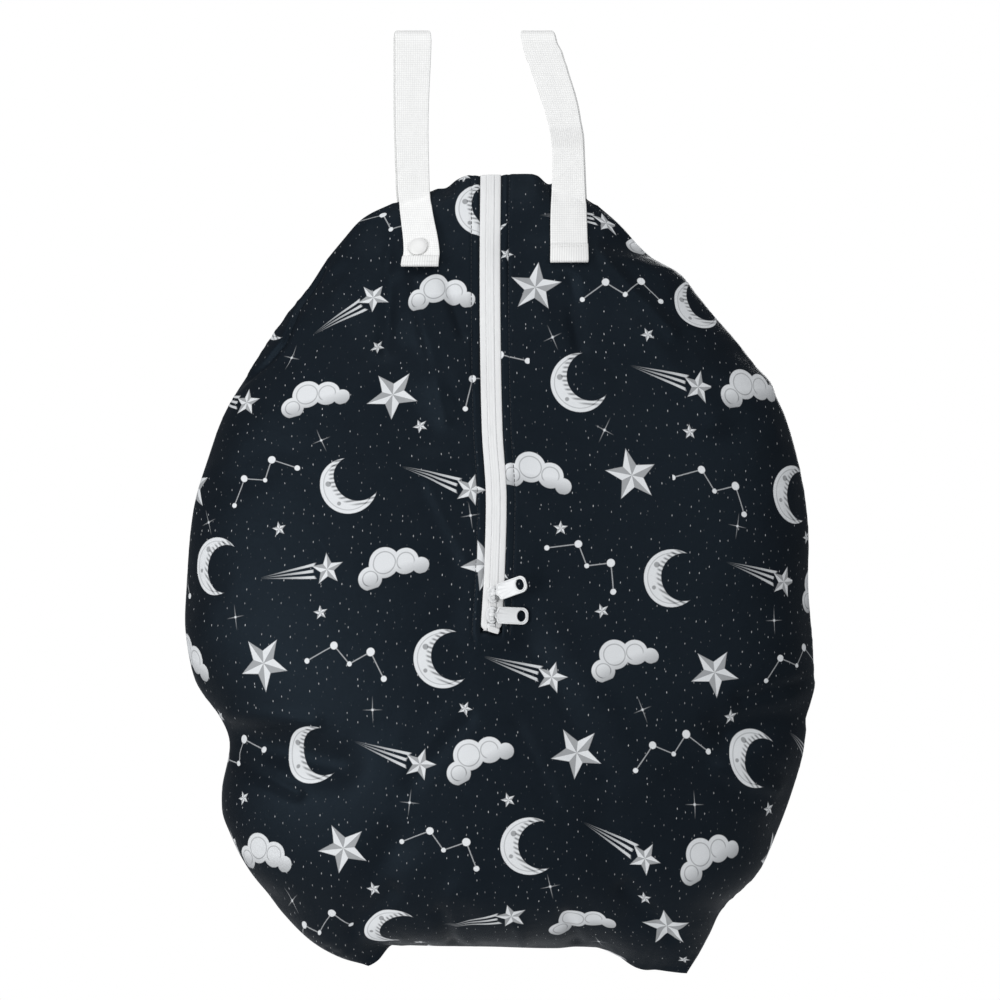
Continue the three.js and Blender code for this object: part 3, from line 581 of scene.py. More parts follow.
class Number:
    """A number that varies over a surface, from a socket of a material's nodes."""

    def __init__(self, tree, socket):
        self.tree = tree
        self.socket = socket

    def made(self, operation, *others, clamp=False):
        node = self.tree.nodes.new("ShaderNodeMath")
        node.operation = operation
        node.use_clamp = clamp
        for slot, value in zip(node.inputs, (self, *others)):
            if isinstance(value, Number):
                self.tree.links.new(value.socket, slot)
            else:
                slot.default_value = value
        return Number(self.tree, node.outputs[0])

    __add__ = __radd__ = operator("ADD")
    __sub__ = operator("SUBTRACT")
    __mul__ = __rmul__ = operator("MULTIPLY")
    __truediv__ = operator("DIVIDE")
    __mod__ = operator("FLOORED_MODULO")
    __abs__ = operator("ABSOLUTE")
    floor = operator("FLOOR")
    sin = operator("SINE")
    cos = operator("COSINE")
    lower = operator("MINIMUM")
    higher = operator("MAXIMUM")

    def __rsub__(self, other):
        return self.made("MULTIPLY_ADD", -1.0, other)

    def clamped(self):
        return self.made("ADD", 0.0, clamp=True)

    def inside(self, blur):
        """1 where this distance is below 0 and 0 where it is above, over a soft edge."""
        return self.made("MULTIPLY_ADD", -1.0 / blur, 0.5, clamp=True)

    def is_near(self, value):
        """1 where this whole number has a value, otherwise 0."""
        return self.made("COMPARE", value, 0.1)


def length_of(x, y):
    return (x * x + y * y).made("SQRT")


def circle(x, y, centre_x, centre_y, radius):
    return length_of(x - centre_x, y - centre_y) - radius


def segment(x, y, start, end, half_width):
    """Distance to a straight line of some width."""
    line = np.subtract(end, start)
    from_x = x - start[0]
    from_y = y - start[1]
    along = (from_x * (line[0] / (line @ line)) + from_y * (line[1] / (line @ line))).clamped()
    return length_of(from_x - along * line[0], from_y - along * line[1]) - half_width


class Shader:
    """A material's nodes round one Principled shader."""

    def __init__(self, name, **values):
        self.material = bpy.data.materials.new(name)
        self.material.use_nodes = True
        self.tree = self.material.node_tree
        self.main = self.tree.nodes["Principled BSDF"]
        for key, value in values.items():
            self.main.inputs[key.replace("_", " ")].default_value = value

    def node(self, kind, **inputs):
        made = self.tree.nodes.new(kind)
        for key, value in inputs.items():
            slot = made.inputs[key.replace("_", " ")]
            if isinstance(value, Number):
                self.tree.links.new(value.socket, slot)
            elif isinstance(value, bpy.types.NodeSocket):
                self.tree.links.new(value, slot)
            else:
                slot.default_value = value
        return made

    def number(self, socket):
        return Number(self.tree, socket)

    def cloth_place(self):
        """The place on the flat cloth in millimetres, to the right and down, and a third number."""
        source = self.tree.nodes.new("ShaderNodeAttribute")
        source.attribute_name = "cloth_place"
        split = self.node("ShaderNodeSeparateXYZ", Vector=source.outputs["Vector"])
        return [self.number(split.outputs[axis]) for axis in ("X", "Y", "Z")]

    def object_place(self, scale):
        """The place in space, scaled."""
        source = self.tree.nodes.new("ShaderNodeTexCoord")
        node = self.tree.nodes.new("ShaderNodeVectorMath")
        node.operation = "SCALE"
        node.inputs["Scale"].default_value = scale
        self.tree.links.new(source.outputs["Object"], node.inputs[0])
        return node.outputs[0]

    def flat_noise(self, x, y, scale, detail=2.0):
        return self.noise(self.vector(x, y), scale, detail)

    def vector(self, x, y, z=0.0):
        return self.node("ShaderNodeCombineXYZ", X=x, Y=y, Z=z).outputs[0]

    def noise(self, place, scale, detail=2.0):
        made = self.node("ShaderNodeTexNoise", Vector=place, Scale=scale, Detail=detail)
        return self.number(made.outputs["Fac"])

    def set(self, key, value):
        slot = self.main.inputs[key.replace("_", " ")]
        self.tree.links.new(value.socket if isinstance(value, Number) else value, slot)

    def blend(self, low, high, share):
        """Colours mixed by a share."""
        made = self.tree.nodes.new("ShaderNodeMix")
        made.data_type = "RGBA"
        self.tree.links.new(share.socket, made.inputs["Factor"])
        for slot, colour in ((made.inputs[6], low), (made.inputs[7], high)):
            if isinstance(colour, tuple):
                slot.default_value = (*colour, 1.0)
            else:
                self.tree.links.new(colour, slot)
        return made.outputs[2]

    def bump(self, height, strength, distance):
        """Bumps of a height from 0 to 1, distance high."""
        made = self.node("ShaderNodeBump", Height=height, Strength=strength, Distance=distance)
        self.tree.links.new(made.outputs["Normal"], self.main.inputs["Normal"])


# The print: a night sky of moons, comets, clouds, stars and joined dots, in millimetres on the cloth
CELL = 66.0
EDGE = 0.45
MOTIF_SCALE = 1.22


def moon(x, y):
    """A crescent with line shading along its inner edge."""
    outer = circle(x, y, 0.0, 0.0, 17.0)
    bite = circle(x, y, 7.0, 2.6, 14.2)
    crescent = outer.higher(bite * -1.0)
    hatch = ((y * 2.4 + x * 0.5).sin() * 0.5 + 0.3).clamped()
    shade = (bite - 2.6).inside(1.5) * hatch
    rim = (abs(outer + 2.2) - 0.25).inside(EDGE)
    spot = circle(x, y, -11.0, 5.0, 1.7).lower(circle(x, y, -9.0, -8.4, 1.2)).inside(EDGE)
    tone = 0.92 - shade * 0.75 - rim * 0.35 - spot * 0.5
    return crescent.inside(EDGE) * tone


def five_point_star(x, y, radius, waist=0.44):
    """A star of five points, each with a light and a dark facet."""
    turn = 2 * math.pi / 5
    angle = (y.made("ARCTAN2", x) - math.pi / 2 + turn / 2) % turn - turn / 2
    away = length_of(x, y)
    along = away * angle.cos()
    beside = away * abs(angle).sin()
    notch = (waist * radius * math.cos(turn / 2), waist * radius * math.sin(turn / 2))
    edge = np.array([radius - notch[0], notch[1]])
    normal = np.array([edge[1], edge[0]]) / np.linalg.norm(edge)
    distance = (along - radius) * normal[0] + beside * normal[1]
    facet = angle.made("SIGN") * 0.24
    return distance.inside(EDGE) * (facet + 0.68)


def comet(x, y):
    """A star with a tail of tapering streaks."""
    head = five_point_star(x - 17.0, y, 9.5)
    half_width = (x + 27.0) * 0.13 + 0.05
    spread = y / half_width.higher(0.05)
    streaks = ((spread * 7.9).cos() * 1.6 + 0.35).clamped()
    fade = ((x + 25.0) / 30.0).clamped()
    tail = (abs(spread) - 1.0).inside(0.12) * (x - 12.5).inside(1.0) * streaks * fade
    clear = circle(x, y, 17.0, 0.0, 8.4).inside(1.0)
    return head.higher(tail * 0.78 * (1.0 - clear))


def cloud(x, y):
    """A cloud of round puffs with a flat foot and curled lines in it."""
    puffs = [(-13.0, -2.0, 7.0), (-3.0, 4.5, 9.0), (9.0, 1.5, 7.6), (17.0, -3.6, 4.8)]
    rounds = [circle(x, y, *puff) for puff in puffs]
    body = rounds[0]
    for other in rounds[1:]:
        body = body.lower(other)
    body = body.higher(y * -1.0 - 8.2)
    lines = abs(rounds[0] + 2.6)
    for other in rounds[1:]:
        lines = lines.lower(abs(other + 2.6))
    curl = (lines - 0.3).inside(EDGE) * (y * -1.0 + x * 0.2 - 3.0).inside(1.5)
    under = ((y + 8.0) / 9.0).clamped() * 0.4 + 0.5
    return body.inside(EDGE) * (under - curl * 0.4)


def joined_dots(x, y):
    """Five dots joined by thin lines."""
    dots = [(-23.0, -7.0), (-10.0, 6.0), (2.0, -1.0), (12.0, 9.0), (24.0, -3.0)]
    lines = segment(x, y, dots[0], dots[1], 0.28)
    for start, end in zip(dots[1:], dots[2:]):
        lines = lines.lower(segment(x, y, start, end, 0.28))
    points = circle(x, y, *dots[0], 1.5)
    for dot, radius in zip(dots[1:], (2.2, 1.4, 2.4, 1.7)):
        points = points.lower(circle(x, y, *dot, radius))
    return (points.inside(EDGE) * 0.95).higher(lines.inside(EDGE) * 0.5)


def sparkle(x, y, reach):
    """A thin star of four rays."""
    flat = (1.0 - abs(x) / reach).clamped() * (abs(y) - 0.22).inside(0.5)
    tall = (1.0 - abs(y) / (reach * 1.35)).clamped() * (abs(x) - 0.22).inside(0.5)
    heart = circle(x, y, 0.0, 0.0, 0.9).inside(0.8)
    return (flat + tall).made("MULTIPLY", 0.6, clamp=True).higher(heart * 0.9)


def random_numbers(shader, column, row, seed):
    """Three random numbers from 0 to 1 for a cell."""
    made = shader.tree.nodes.new("ShaderNodeTexWhiteNoise")
    made.noise_dimensions = "3D"
    shader.tree.links.new(shader.vector(column, row, seed), made.inputs["Vector"])
    split = shader.tree.nodes.new("ShaderNodeSeparateColor")
    shader.tree.links.new(made.outputs["Color"], split.inputs["Color"])
    return [shader.number(split.outputs[channel]) for channel in ("Red", "Green", "Blue")]


def cell_places(shader, x, y, pitch, jitter, turn, seed):
    """The cell's column and row at a place, and the place from its middle, moved and turned by chance."""
    row = (y / pitch).floor()
    shifted = x + (row % 2.0) * (pitch / 2)
    column = (shifted / pitch).floor()
    chance_x, chance_y, chance_turn = random_numbers(shader, column, row, seed)
    local_x = shifted - (column + 0.5) * pitch + (chance_x - 0.5) * jitter
    local_y = (row + 0.5) * pitch - y + (chance_y - 0.5) * jitter
    angle = (chance_turn - 0.5) * turn
    cosine = angle.cos()
    sine = angle.sin()
    return column, row, local_x * cosine + local_y * sine, local_y * cosine - local_x * sine


def print_brightness(shader, x, y):
    """How bright the print is at a place of the cloth, from 0 on the plain ground."""
    column, row, local_x, local_y = cell_places(shader, x, y, CELL, 12.0, 1.3, 3.0)
    kind = (column + row * 2.0) % 5.0
    local_x = local_x / MOTIF_SCALE
    local_y = local_y / MOTIF_SCALE
    motifs = [
        moon(local_x, local_y),
        comet(local_x, local_y),
        cloud(local_x, local_y),
        five_point_star(local_x, local_y, 15.5),
        joined_dots(local_x, local_y),
    ]
    brightness = motifs[0] * kind.is_near(0.0)
    for number, motif in enumerate(motifs[1:], 1):
        brightness = brightness + motif * kind.is_near(float(number))
    column, row, small_x, small_y = cell_places(shader, x + CELL * 0.25, y + CELL * 0.5, CELL, 9.0, 1.0, 8.0)
    choice = (column * 2.0 + row) % 3.0
    little = five_point_star(small_x, small_y, 5.2) * choice.is_near(0.0)
    little = little + sparkle(small_x, small_y, 7.5) * choice.is_near(1.0)
    return brightness.higher(little)


# Speckles to a millimetre, across and down
SPECKLE_COLUMNS = 0.14
SPECKLE_ROWS = 0.13


def speckles(shader, x, y):
    """Tiny upright dashes all over the ground."""
    place = shader.vector(x * SPECKLE_COLUMNS, y * SPECKLE_ROWS)
    made = shader.tree.nodes.new("ShaderNodeTexVoronoi")
    made.voronoi_dimensions = "2D"
    made.inputs["Scale"].default_value = 1.0
    shader.tree.links.new(place, made.inputs["Vector"])
    spot = shader.node("ShaderNodeSeparateXYZ", Vector=made.outputs["Position"])
    from_x = (x * SPECKLE_COLUMNS - shader.number(spot.outputs["X"])) / SPECKLE_COLUMNS
    from_y = (y * SPECKLE_ROWS - shader.number(spot.outputs["Y"])) / SPECKLE_ROWS
    split = shader.node("ShaderNodeSeparateColor", Color=made.outputs["Color"])
    chance = shader.number(split.outputs["Red"])
    dash = length_of(from_x * 2.7, from_y) - (chance * 0.45 + 0.3)
    return dash.inside(0.5) * (chance * chance * 0.55 + 0.04)


def cloth_material():
    shader = Shader(
        "printed_cloth", Roughness=0.48, Specular_IOR_Level=0.12, Sheen_Weight=0.015, Sheen_Roughness=0.4
    )
    shader.main.inputs["Specular Tint"].default_value = (0.5, 0.75, 1.0, 1.0)
    shader.main.inputs["Sheen Tint"].default_value = (0.55, 0.75, 1.0, 1.0)
    x, y, _ = shader.cloth_place()
    ink = print_brightness(shader, x, y).higher(speckles(shader, x, y))
    wear = shader.flat_noise(x * 0.05, y * 0.05, 1.0, 4.0)
    ground = shader.blend((0.0032, 0.0048, 0.0072), (0.0056, 0.0078, 0.0108), wear)
    grain = shader.flat_noise(x, y, 1.6)
    light = shader.blend((0.6, 0.62, 0.64), (0.76, 0.77, 0.78), grain)
    shader.set("Base Color", shader.blend(ground, light, ink.clamped()))
    threads = (x * 9.0).sin() * (y * 9.0).sin() * 0.3
    waves = shader.flat_noise(x * 0.12, y * 0.12, 1.0, 3.0)
    shader.bump(threads * 0.25 + waves, 0.35, 0.9 * MM)
    shader.set("Roughness", wear * 0.12 + 0.44 + ink * 0.08)
    return shader.material


def webbing_material():
    shader = Shader("webbing", Roughness=0.85, Specular_IOR_Level=0.2, Sheen_Weight=0.08, Sheen_Roughness=0.5)
    x, y, ribs_and_bend_shade = shader.cloth_place()
    half_turn = math.pi / (WEAVE_PITCH / MM)
    ribs = abs((x * half_turn).sin())
    squares = ribs * abs((y * half_turn).sin())
    weave = squares + (ribs - squares) * ribs_and_bend_shade
    fibres = (x * (2 * math.pi / 0.26)).sin() * 0.5 + shader.flat_noise(x, y, 3.0, 3.0)
    spots = shader.flat_noise(x, y, 0.12, 3.0)
    # Darker in the gaps between the woven squares, which is painted shade; darker also over the ribbed share,
    # which holds the greyer doubled hems and painted shade over the right loop's bend.
    tone = (weave * 0.9 + spots * 0.5 - ribs_and_bend_shade * 0.5 + 0.05).clamped()
    shader.set("Base Color", shader.blend((0.64, 0.64, 0.635), (0.83, 0.83, 0.82), tone))
    shader.bump(weave * 0.6 + fibres * 0.2, 0.4, 0.25 * MM)
    shader.set("Roughness", fibres * 0.1 + 0.78)
    return shader.material


def zip_material():
    shader = Shader("zip_cloth", Roughness=0.75, Specular_IOR_Level=0.2, Sheen_Weight=0.05)
    x, y, _ = shader.cloth_place()
    twill = ((x + y * 0.6) * (2 * math.pi / 0.62)).sin()
    knit = (y * (2 * math.pi / 0.85)).sin() * (x * (2 * math.pi / 0.7)).sin()
    spots = shader.flat_noise(x * 0.5, y * 0.1, 1.0, 3.0)
    tone = (spots * 0.8 + twill * 0.06 + 0.2).clamped()
    shader.set("Base Color", shader.blend((0.6, 0.605, 0.61), (0.72, 0.725, 0.725), tone))
    shader.bump(twill * 0.3 + knit * 0.4, 0.3, 0.1 * MM)
    shader.set("Roughness", spots * 0.15 + 0.65)
    return shader.material


def plastic_material(name, dark, light, roughness):
    shader = Shader(name, Roughness=roughness, Specular_IOR_Level=0.4)
    flow = shader.noise(shader.object_place(220.0), 1.0, 3.0)
    fine = shader.noise(shader.object_place(2600.0), 1.0, 2.0)
    shader.set("Base Color", shader.blend(dark, light, flow))
    shader.set("Roughness", flow * 0.14 + fine * 0.08 + (roughness - 0.11))
    shader.bump(flow * 0.7 + fine * 0.3, 0.12, 0.15 * MM)
    return shader.material


def thread_material(name, dark, light):
    shader = Shader(name, Roughness=0.6, Specular_IOR_Level=0.35)
    x, y, _ = shader.cloth_place()
    twist = ((x * 2.0 + y) * (2 * math.pi / 0.5)).sin()
    shader.set("Base Color", shader.blend(dark, light, (twist * 0.35 + 0.5).clamped()))
    shader.bump(twist * 0.5, 0.5, 0.1 * MM)
    shader.set("Roughness", twist * 0.08 + 0.6)
    return shader.material


def floor_material():
    shader = Shader("pale_floor", Roughness=0.8, Specular_IOR_Level=0.2)
    grain = shader.noise(shader.object_place(3.0), 1.0, 4.0)
    shader.set("Base Color", shader.blend((0.84, 0.84, 0.84), (0.88, 0.88, 0.88), grain))
    return shader.material


CLOTH = cloth_material()
WEBBING = webbing_material()
ZIP_CLOTH = zip_material()
PLASTIC = plastic_material("white_plastic", (0.62, 0.63, 0.64), (0.7, 0.71, 0.715), 0.38)
SNAP_PLASTIC = plastic_material("snap_plastic", (0.66, 0.66, 0.655), (0.73, 0.73, 0.72), 0.45)
DARK_THREAD = thread_material("dark_thread", (0.008, 0.01, 0.014), (0.02, 0.024, 0.03))
WHITE_THREAD = thread_material("white_thread", (0.62, 0.62, 0.6), (0.78, 0.78, 0.76))

# Panels
SIDE_COLUMNS = 84
SLOT_COLUMNS = 8
BACK_COLUMNS = 150
UPPER_ROWS = 118
LOWER_ROWS = 92
BESIDE_SLOT = np.array([0, 0.5, 1.2, 2.2, 3.2, 4.2, 5.2, 5.8, 6.4, 7.2, 8.6, 11, 14.5]) * MM

# Height of the cloth beside the zip by the distance from the slot's edge: a rolled edge, a double
# layer and the groove of the stitching
SLOT_EDGE = table(
    "distance height",
    [[0, -0.7], [1, 0.3], [2.2, 0.55], [4.2, 0.5], [5.8, -0.35], [7.2, 0.15], [10, 0]],
)
STITCH_FROM_SLOT = 5.8 * MM

# 0 packs a panel's columns at its border and 1 spaces them evenly.
EVENNESS = 0.25
SEAM_REACH = 4 * MM
LOOP_MARGIN = 3 * MM
LOOP_FADE = 12 * MM
PUCKER_HEIGHT = 0.45 * MM
PUCKER_REACH = 13 * MM
PUCKER_PITCH = 11 * MM
SEAM_WANDER = 1.3 * MM
CREASE_FADE = 18 * MM
FOLD_FADE = 8 * MM
SIDE_SEAM_FADE = 5 * MM
WANDER_REACH = 22 * MM
WANDER_FADE = 30 * MM


def spread(share):
    """Shares from a panel's border to its middle, closer together at the border."""
    return mix(1 - np.cos(share * math.pi / 2), share, EVENNESS)


def even_columns(count):
    """Shares across a whole panel, closer together at both borders."""
    half = spread(np.linspace(0, 1, count // 2 + 1)) / 2
    return np.concatenate([half, 1 - half[-2::-1]])


def panel_rows():
    upper = np.linspace(0, 1, UPPER_ROWS + 1) ** 1.15 * ZIP_END_DOWN
    share = np.linspace(0, 1, LOWER_ROWS + 1)[1:]
    lower = mix(ZIP_END_DOWN, 1, share + np.sin(math.pi * share) * share * 0.1)
    return np.concatenate([upper, lower])


def front_columns(down):
    """Shares across for the rows of the front panel, close together at the seam and beside the zip."""
    left_start = beside_zip(down, -ZIP_OPENING / 2 - BESIDE_SLOT[-1])
    right_start = beside_zip(down, ZIP_OPENING / 2 + BESIDE_SLOT[-1])
    eased_side = spread(np.linspace(0, 1, SIDE_COLUMNS + 1)[:-1])
    left = left_start[:, None] * eased_side
    left_zip = np.stack([beside_zip(down, -ZIP_OPENING / 2 - away) for away in BESIDE_SLOT[::-1]], 1)
    middle = np.linspace(-0.5, 0.5, SLOT_COLUMNS + 1)[1:-1] * ZIP_OPENING
    slot = np.stack([beside_zip(down, offset) for offset in middle], 1)
    right_zip = np.stack([beside_zip(down, ZIP_OPENING / 2 + away) for away in BESIDE_SLOT], 1)
    right = 1 - (1 - right_start[:, None]) * eased_side[::-1]
    return np.concatenate([left, left_zip, slot, right_zip, right], 1)


def border_distances(points):
    """The distance of a grid's points from its left, right, upper and lower borders."""
    across = run_lengths(points, 1)
    down = run_lengths(points, 0)
    return across, across[:, -1:] - across, down, down[-1:] - down


def puckers(along, away, seed):
    """Small waves across a seam, by the length along it and the distance from it."""
    phase = along * (2 * math.pi / PUCKER_PITCH)
    waves = np.sin(phase + 1.7 * np.sin(phase * 0.23 + seed)) * (0.6 + 0.4 * np.sin(phase * 0.11 + 2 * seed))
    return PUCKER_HEIGHT * waves * np.exp(-away / PUCKER_REACH) * eased(away / SEAM_REACH)


def clear_of_loops(x, z):
    """0 under the webbing loops and 1 away from them."""
    clear = np.ones_like(x)
    for loop in (LEFT_LOOP, RIGHT_LOOP):
        drop = np.clip(-z / loop["length"], 0, 1)
        middle = loop["x"] + look_up(loop["lean"], "drop", "shift", drop) * WEBBING_WIDTH
        beside = np.maximum(np.abs(x - middle) - WEBBING_WIDTH / 2 - LOOP_MARGIN, 0)
        below = np.maximum(-z - loop["length"] - LOOP_MARGIN, 0)
        clear = clear * eased(np.hypot(beside, below) / LOOP_FADE)
    return clear


def side_seam(x, z):
    """The groove of the left side seam, with the back panel's cloth raised outside it."""
    nearest = np.full_like(x, 1.0)
    turn = np.zeros_like(x)
    spots = np.stack([SIDE_SEAM["x"], SIDE_SEAM["z"]], -1) * MM
    for start, end in zip(spots[:-1], spots[1:]):
        line = end - start
        from_x, from_z = x - start[0], z - start[1]
        along = np.clip((from_x * line[0] + from_z * line[1]) / (line @ line), 0, 1)
        beside = np.hypot(from_x - along * line[0], from_z - along * line[1])
        turn = np.where(beside < nearest, line[0] * from_z - line[1] * from_x, turn)
        nearest = np.minimum(beside, nearest)
    groove = SIDE_SEAM_DEPTH * np.exp(-((nearest / SIDE_SEAM_WIDTH) ** 2))
    step = SIDE_SEAM_STEP * eased(nearest / (3 * MM)) * np.exp(-((nearest / SIDE_SEAM_REACH) ** 2))
    return np.where(turn < 0, step, 0.35 * step) - groove


def slot_distance(x, z, down):
    """The distance from the zip's slot in the front view."""
    beside = np.abs(x - zip_middle(down)) - ZIP_OPENING / 2
    below = BAG_TOP - ZIP_LENGTH - z
    return np.where(below > 0, np.hypot(np.maximum(beside, 0), below), beside)


# Cloth simulation of both panels, on a coarse grid
DRAPE_ROWS = 76
DRAPE_COLUMNS = 72
DRAPE_FRAMES = 20
DRAPE_GROWTH = 0.025
DRAPE_PRESSURE = 10.0
DRAPE_QUALITY = 5
DRAPE_MASS = 0.15
DRAPE_STRETCH = 15
DRAPE_SHEAR = 5
DRAPE_BENDING = 0.3
DRAPE_SMOOTHING = 2
DRAPE_BLUR = 60
DRAPE_SHARE = 0.5
DRAPE_CAP = 3.5 * MM
ZIP_MARGIN = 8 * MM
ZIP_FADE = 14 * MM
HELD_BELOW = 0.02


def blurred(values, steps):
    """A grid's values spread out over their neighbours."""
    for _ in range(steps):
        padded = np.pad(values, 1, mode="edge")
        beside = padded[:-2, 1:-1] + padded[2:, 1:-1] + padded[1:-1, :-2] + padded[1:-1, 2:]
        values = values * 0.5 + beside * 0.125
    return values


def cubic_shares(share):
    """What four neighbours in a row count for at a share of the way between the middle two."""
    square, cube = share**2, share**3
    return [
        (2 * square - cube - share) / 2,
        (3 * cube - 5 * square + 2) / 2,
        (share + 4 * square - 3 * cube) / 2,
        (cube - square) / 2,
    ]


def sampled(values, row, column):
    """A grid's values at places between its points."""
    last_row, last_column = values.shape[0] - 1, values.shape[1] - 1
    top = np.clip(np.floor(row).astype(int), 0, last_row - 1)
    left = np.clip(np.floor(column).astype(int), 0, last_column - 1)
    total = 0
    for down, row_share in enumerate(cubic_shares(row - top), -1):
        for right, column_share in enumerate(cubic_shares(column - left), -1):
            near = values[np.clip(top + down, 0, last_row), np.clip(left + right, 0, last_column)]
            total = total + row_share * column_share * near
    return total


def settled_cloth(points, faces, held):
    """Points of a closed cloth body after it has settled round its filling. Held points stay."""
    mesh = bpy.data.meshes.new("drape")
    mesh.from_pydata(points.tolist(), [], faces.tolist())
    drape = bpy.data.objects.new("drape", mesh)
    scene = bpy.context.scene
    scene.collection.objects.link(drape)
    drape.vertex_groups.new(name="held").add(np.flatnonzero(held).tolist(), 1.0, "ADD")
    cloth = drape.modifiers.new("cloth", "CLOTH")
    cloth.point_cache.frame_end = DRAPE_FRAMES
    settings = cloth.settings
    settings.quality = DRAPE_QUALITY
    settings.mass = DRAPE_MASS
    settings.tension_stiffness = DRAPE_STRETCH
    settings.compression_stiffness = DRAPE_STRETCH
    settings.shear_stiffness = DRAPE_SHEAR
    settings.bending_stiffness = DRAPE_BENDING
    settings.use_pressure = True
    settings.uniform_pressure_force = DRAPE_PRESSURE
    settings.shrink_min = -DRAPE_GROWTH
    settings.vertex_group_mass = "held"
    settings.effector_weights.gravity = 0
    for number in range(1, DRAPE_FRAMES + 1):
        scene.frame_set(number)
    settled = drape.evaluated_get(bpy.context.evaluated_depsgraph_get())
    moved = np.array([vertex.co for vertex in settled.to_mesh().vertices])
    settled.to_mesh_clear()
    scene.frame_set(1)
    bpy.data.objects.remove(drape)
    bpy.data.meshes.remove(mesh)
    return moved


def wrinkles():
    """How far the settled cloth of the front and back panels stands out or in, on the coarse grid."""
    rows = np.linspace(0, 1, DRAPE_ROWS + 1)[:, None]
    across, down = np.broadcast_arrays(even_columns(DRAPE_COLUMNS), rows)
    grids = [panel_point(panel, across, down, 0.0) for panel in (FRONT, BACK)]
    border = np.zeros(across.shape, bool)
    border[[0, -1]] = border[:, [0, -1]] = True
    front = np.arange(across.size).reshape(across.shape)
    back = np.where(border, front, 0)
    back[~border] = across.size + np.arange((~border).sum())
    points = np.concatenate([grids[0].reshape(-1, 3), grids[1][~border]])
    faces = []
    for numbers, step in ((front, 1), (back, -1)):
        cells = np.stack([numbers[:-1, :-1], numbers[1:, :-1], numbers[1:, 1:], numbers[:-1, 1:]], -1)
        faces.append(cells.reshape(-1, 4)[:, ::step])
    held = [border | (clear_of_loops(grid[..., 0], grid[..., 2]) < HELD_BELOW) for grid in grids]
    held[0] = held[0] | (slot_distance(grids[0][..., 0], grids[0][..., 2], down) < ZIP_MARGIN)
    moved = settled_cloth(points, np.concatenate(faces), np.concatenate([held[0].ravel(), held[1][~border]]))
    rises = []
    for grid, numbers, panel in ((grids[0], front, FRONT), (grids[1], back, BACK)):
        rise = np.einsum("ijk,ijk->ij", moved[numbers] - grid, normals_of(grid) * -panel["facing"])
        rise = (blurred(rise, DRAPE_SMOOTHING) - blurred(rise, DRAPE_BLUR)) * DRAPE_SHARE
        rises.append(DRAPE_CAP * np.tanh(rise / DRAPE_CAP))
    return rises


def border_shift(base, borders, along_side):
    """How far a panel's border is pushed out to the finished outline, and how it wanders in depth."""
    left, right, upper, lower = borders
    drop = (BAG_TOP - base[..., 2]) / BAG_HEIGHT
    share = base[..., 0] / BAG_WIDTH
    wander = np.sin(along_side / (31 * MM)) + np.sin(along_side / (13 * MM) + 2)
    wander = SEAM_WANDER * 0.5 * wander * np.exp(-np.minimum(left, right) / WANDER_REACH)
    wander = wander * eased(np.minimum(upper, lower) / WANDER_FADE)
    to_left, to_right, up, down = (
        look_up(rows, key, "push", at) * np.exp(-away / TRIM_REACH) * MM
        for rows, key, at, away in (
            (LEFT_TRIM, "drop", drop[:, :1], left),
            (RIGHT_TRIM, "drop", drop[:, -1:], right),
            (HEM_TRIM, "across", share[:1], upper),
            (SEAM_TRIM, "across", share[-1:], lower),
        )
    )
    return np.stack([to_right - to_left, wander, up - down], -1)


def panel_points(panel, creases, rises, across, down):
    """The outer and inner faces of a panel with its wrinkles, creases, puckers and seam."""
    down = np.broadcast_to(down, across.shape)
    base = panel_point(panel, across, down, 0.0)
    borders = border_distances(base)
    left, right, upper, lower = borders
    along_side = run_lengths(base, 0)
    along_hem = run_lengths(base, 1)
    nearest = np.minimum(np.minimum(left, right), np.minimum(upper, lower))
    x, z = base[..., 0], base[..., 2]
    relief = panel["depth"] * fold_rise(laid_folds(creases), x, z) * eased(nearest / CREASE_FADE)
    relief = relief + puckers(along_side[:, :1], left, 0.4) + puckers(along_side[:, -1:], right, 1.9)
    relief = relief + puckers(along_hem[:1], upper, 3.1) + puckers(along_hem[-1:], lower, 4.6)
    folds = 0.0
    if rises is not None:
        column = np.interp(across, even_columns(DRAPE_COLUMNS), np.arange(DRAPE_COLUMNS + 1))
        folds = sampled(rises, down * DRAPE_ROWS, column) * eased(nearest / FOLD_FADE)
    if panel is FRONT:
        from_slot = slot_distance(x, z, down)
        folds = folds * eased((from_slot - ZIP_MARGIN) / ZIP_FADE)
        relief = relief + side_seam(x, z) * eased(nearest / SIDE_SEAM_FADE)
    relief = (relief + folds) * clear_of_loops(x, z)
    if panel is FRONT:
        relief = relief + look_up(SLOT_EDGE, "distance", "height", from_slot / MM) * MM
    outward = normals_of(base) * -panel["facing"]
    moved = outward * relief[..., None] + border_shift(base, borders, along_side[:, :1])
    return base + moved, panel_point(panel, across, down, CLOTH_THICKNESS) + moved


def cloth_places_of(points, column):
    """Places on the flat cloth in millimetres: across from a column, and down from the top."""
    across = run_lengths(points, 1)
    start = across[:, column : column + 1]
    down = run_lengths(points[:, column : column + 1], 0)
    return np.stack([(across - start) / MM, np.broadcast_to(down, across.shape) / MM], -1)


def add_panel(name, panel, creases, rises, across, keep, node, print_shift):
    down = panel_rows()[:, None]
    outer, inner = panel_points(panel, creases, rises, across, down)
    places = cloth_places_of(outer, across.shape[1] // 2)
    if panel is BACK:
        places = places * (-1, 1)
    made = wall_piece(name, CLOTH, "printed_cloth", outer, inner, places + print_shift, [node], keep)
    corner = outer[:-1, :-1]
    cells = np.linalg.norm(np.cross(outer[1:, :-1] - corner, outer[:-1, 1:] - corner), axis=-1)


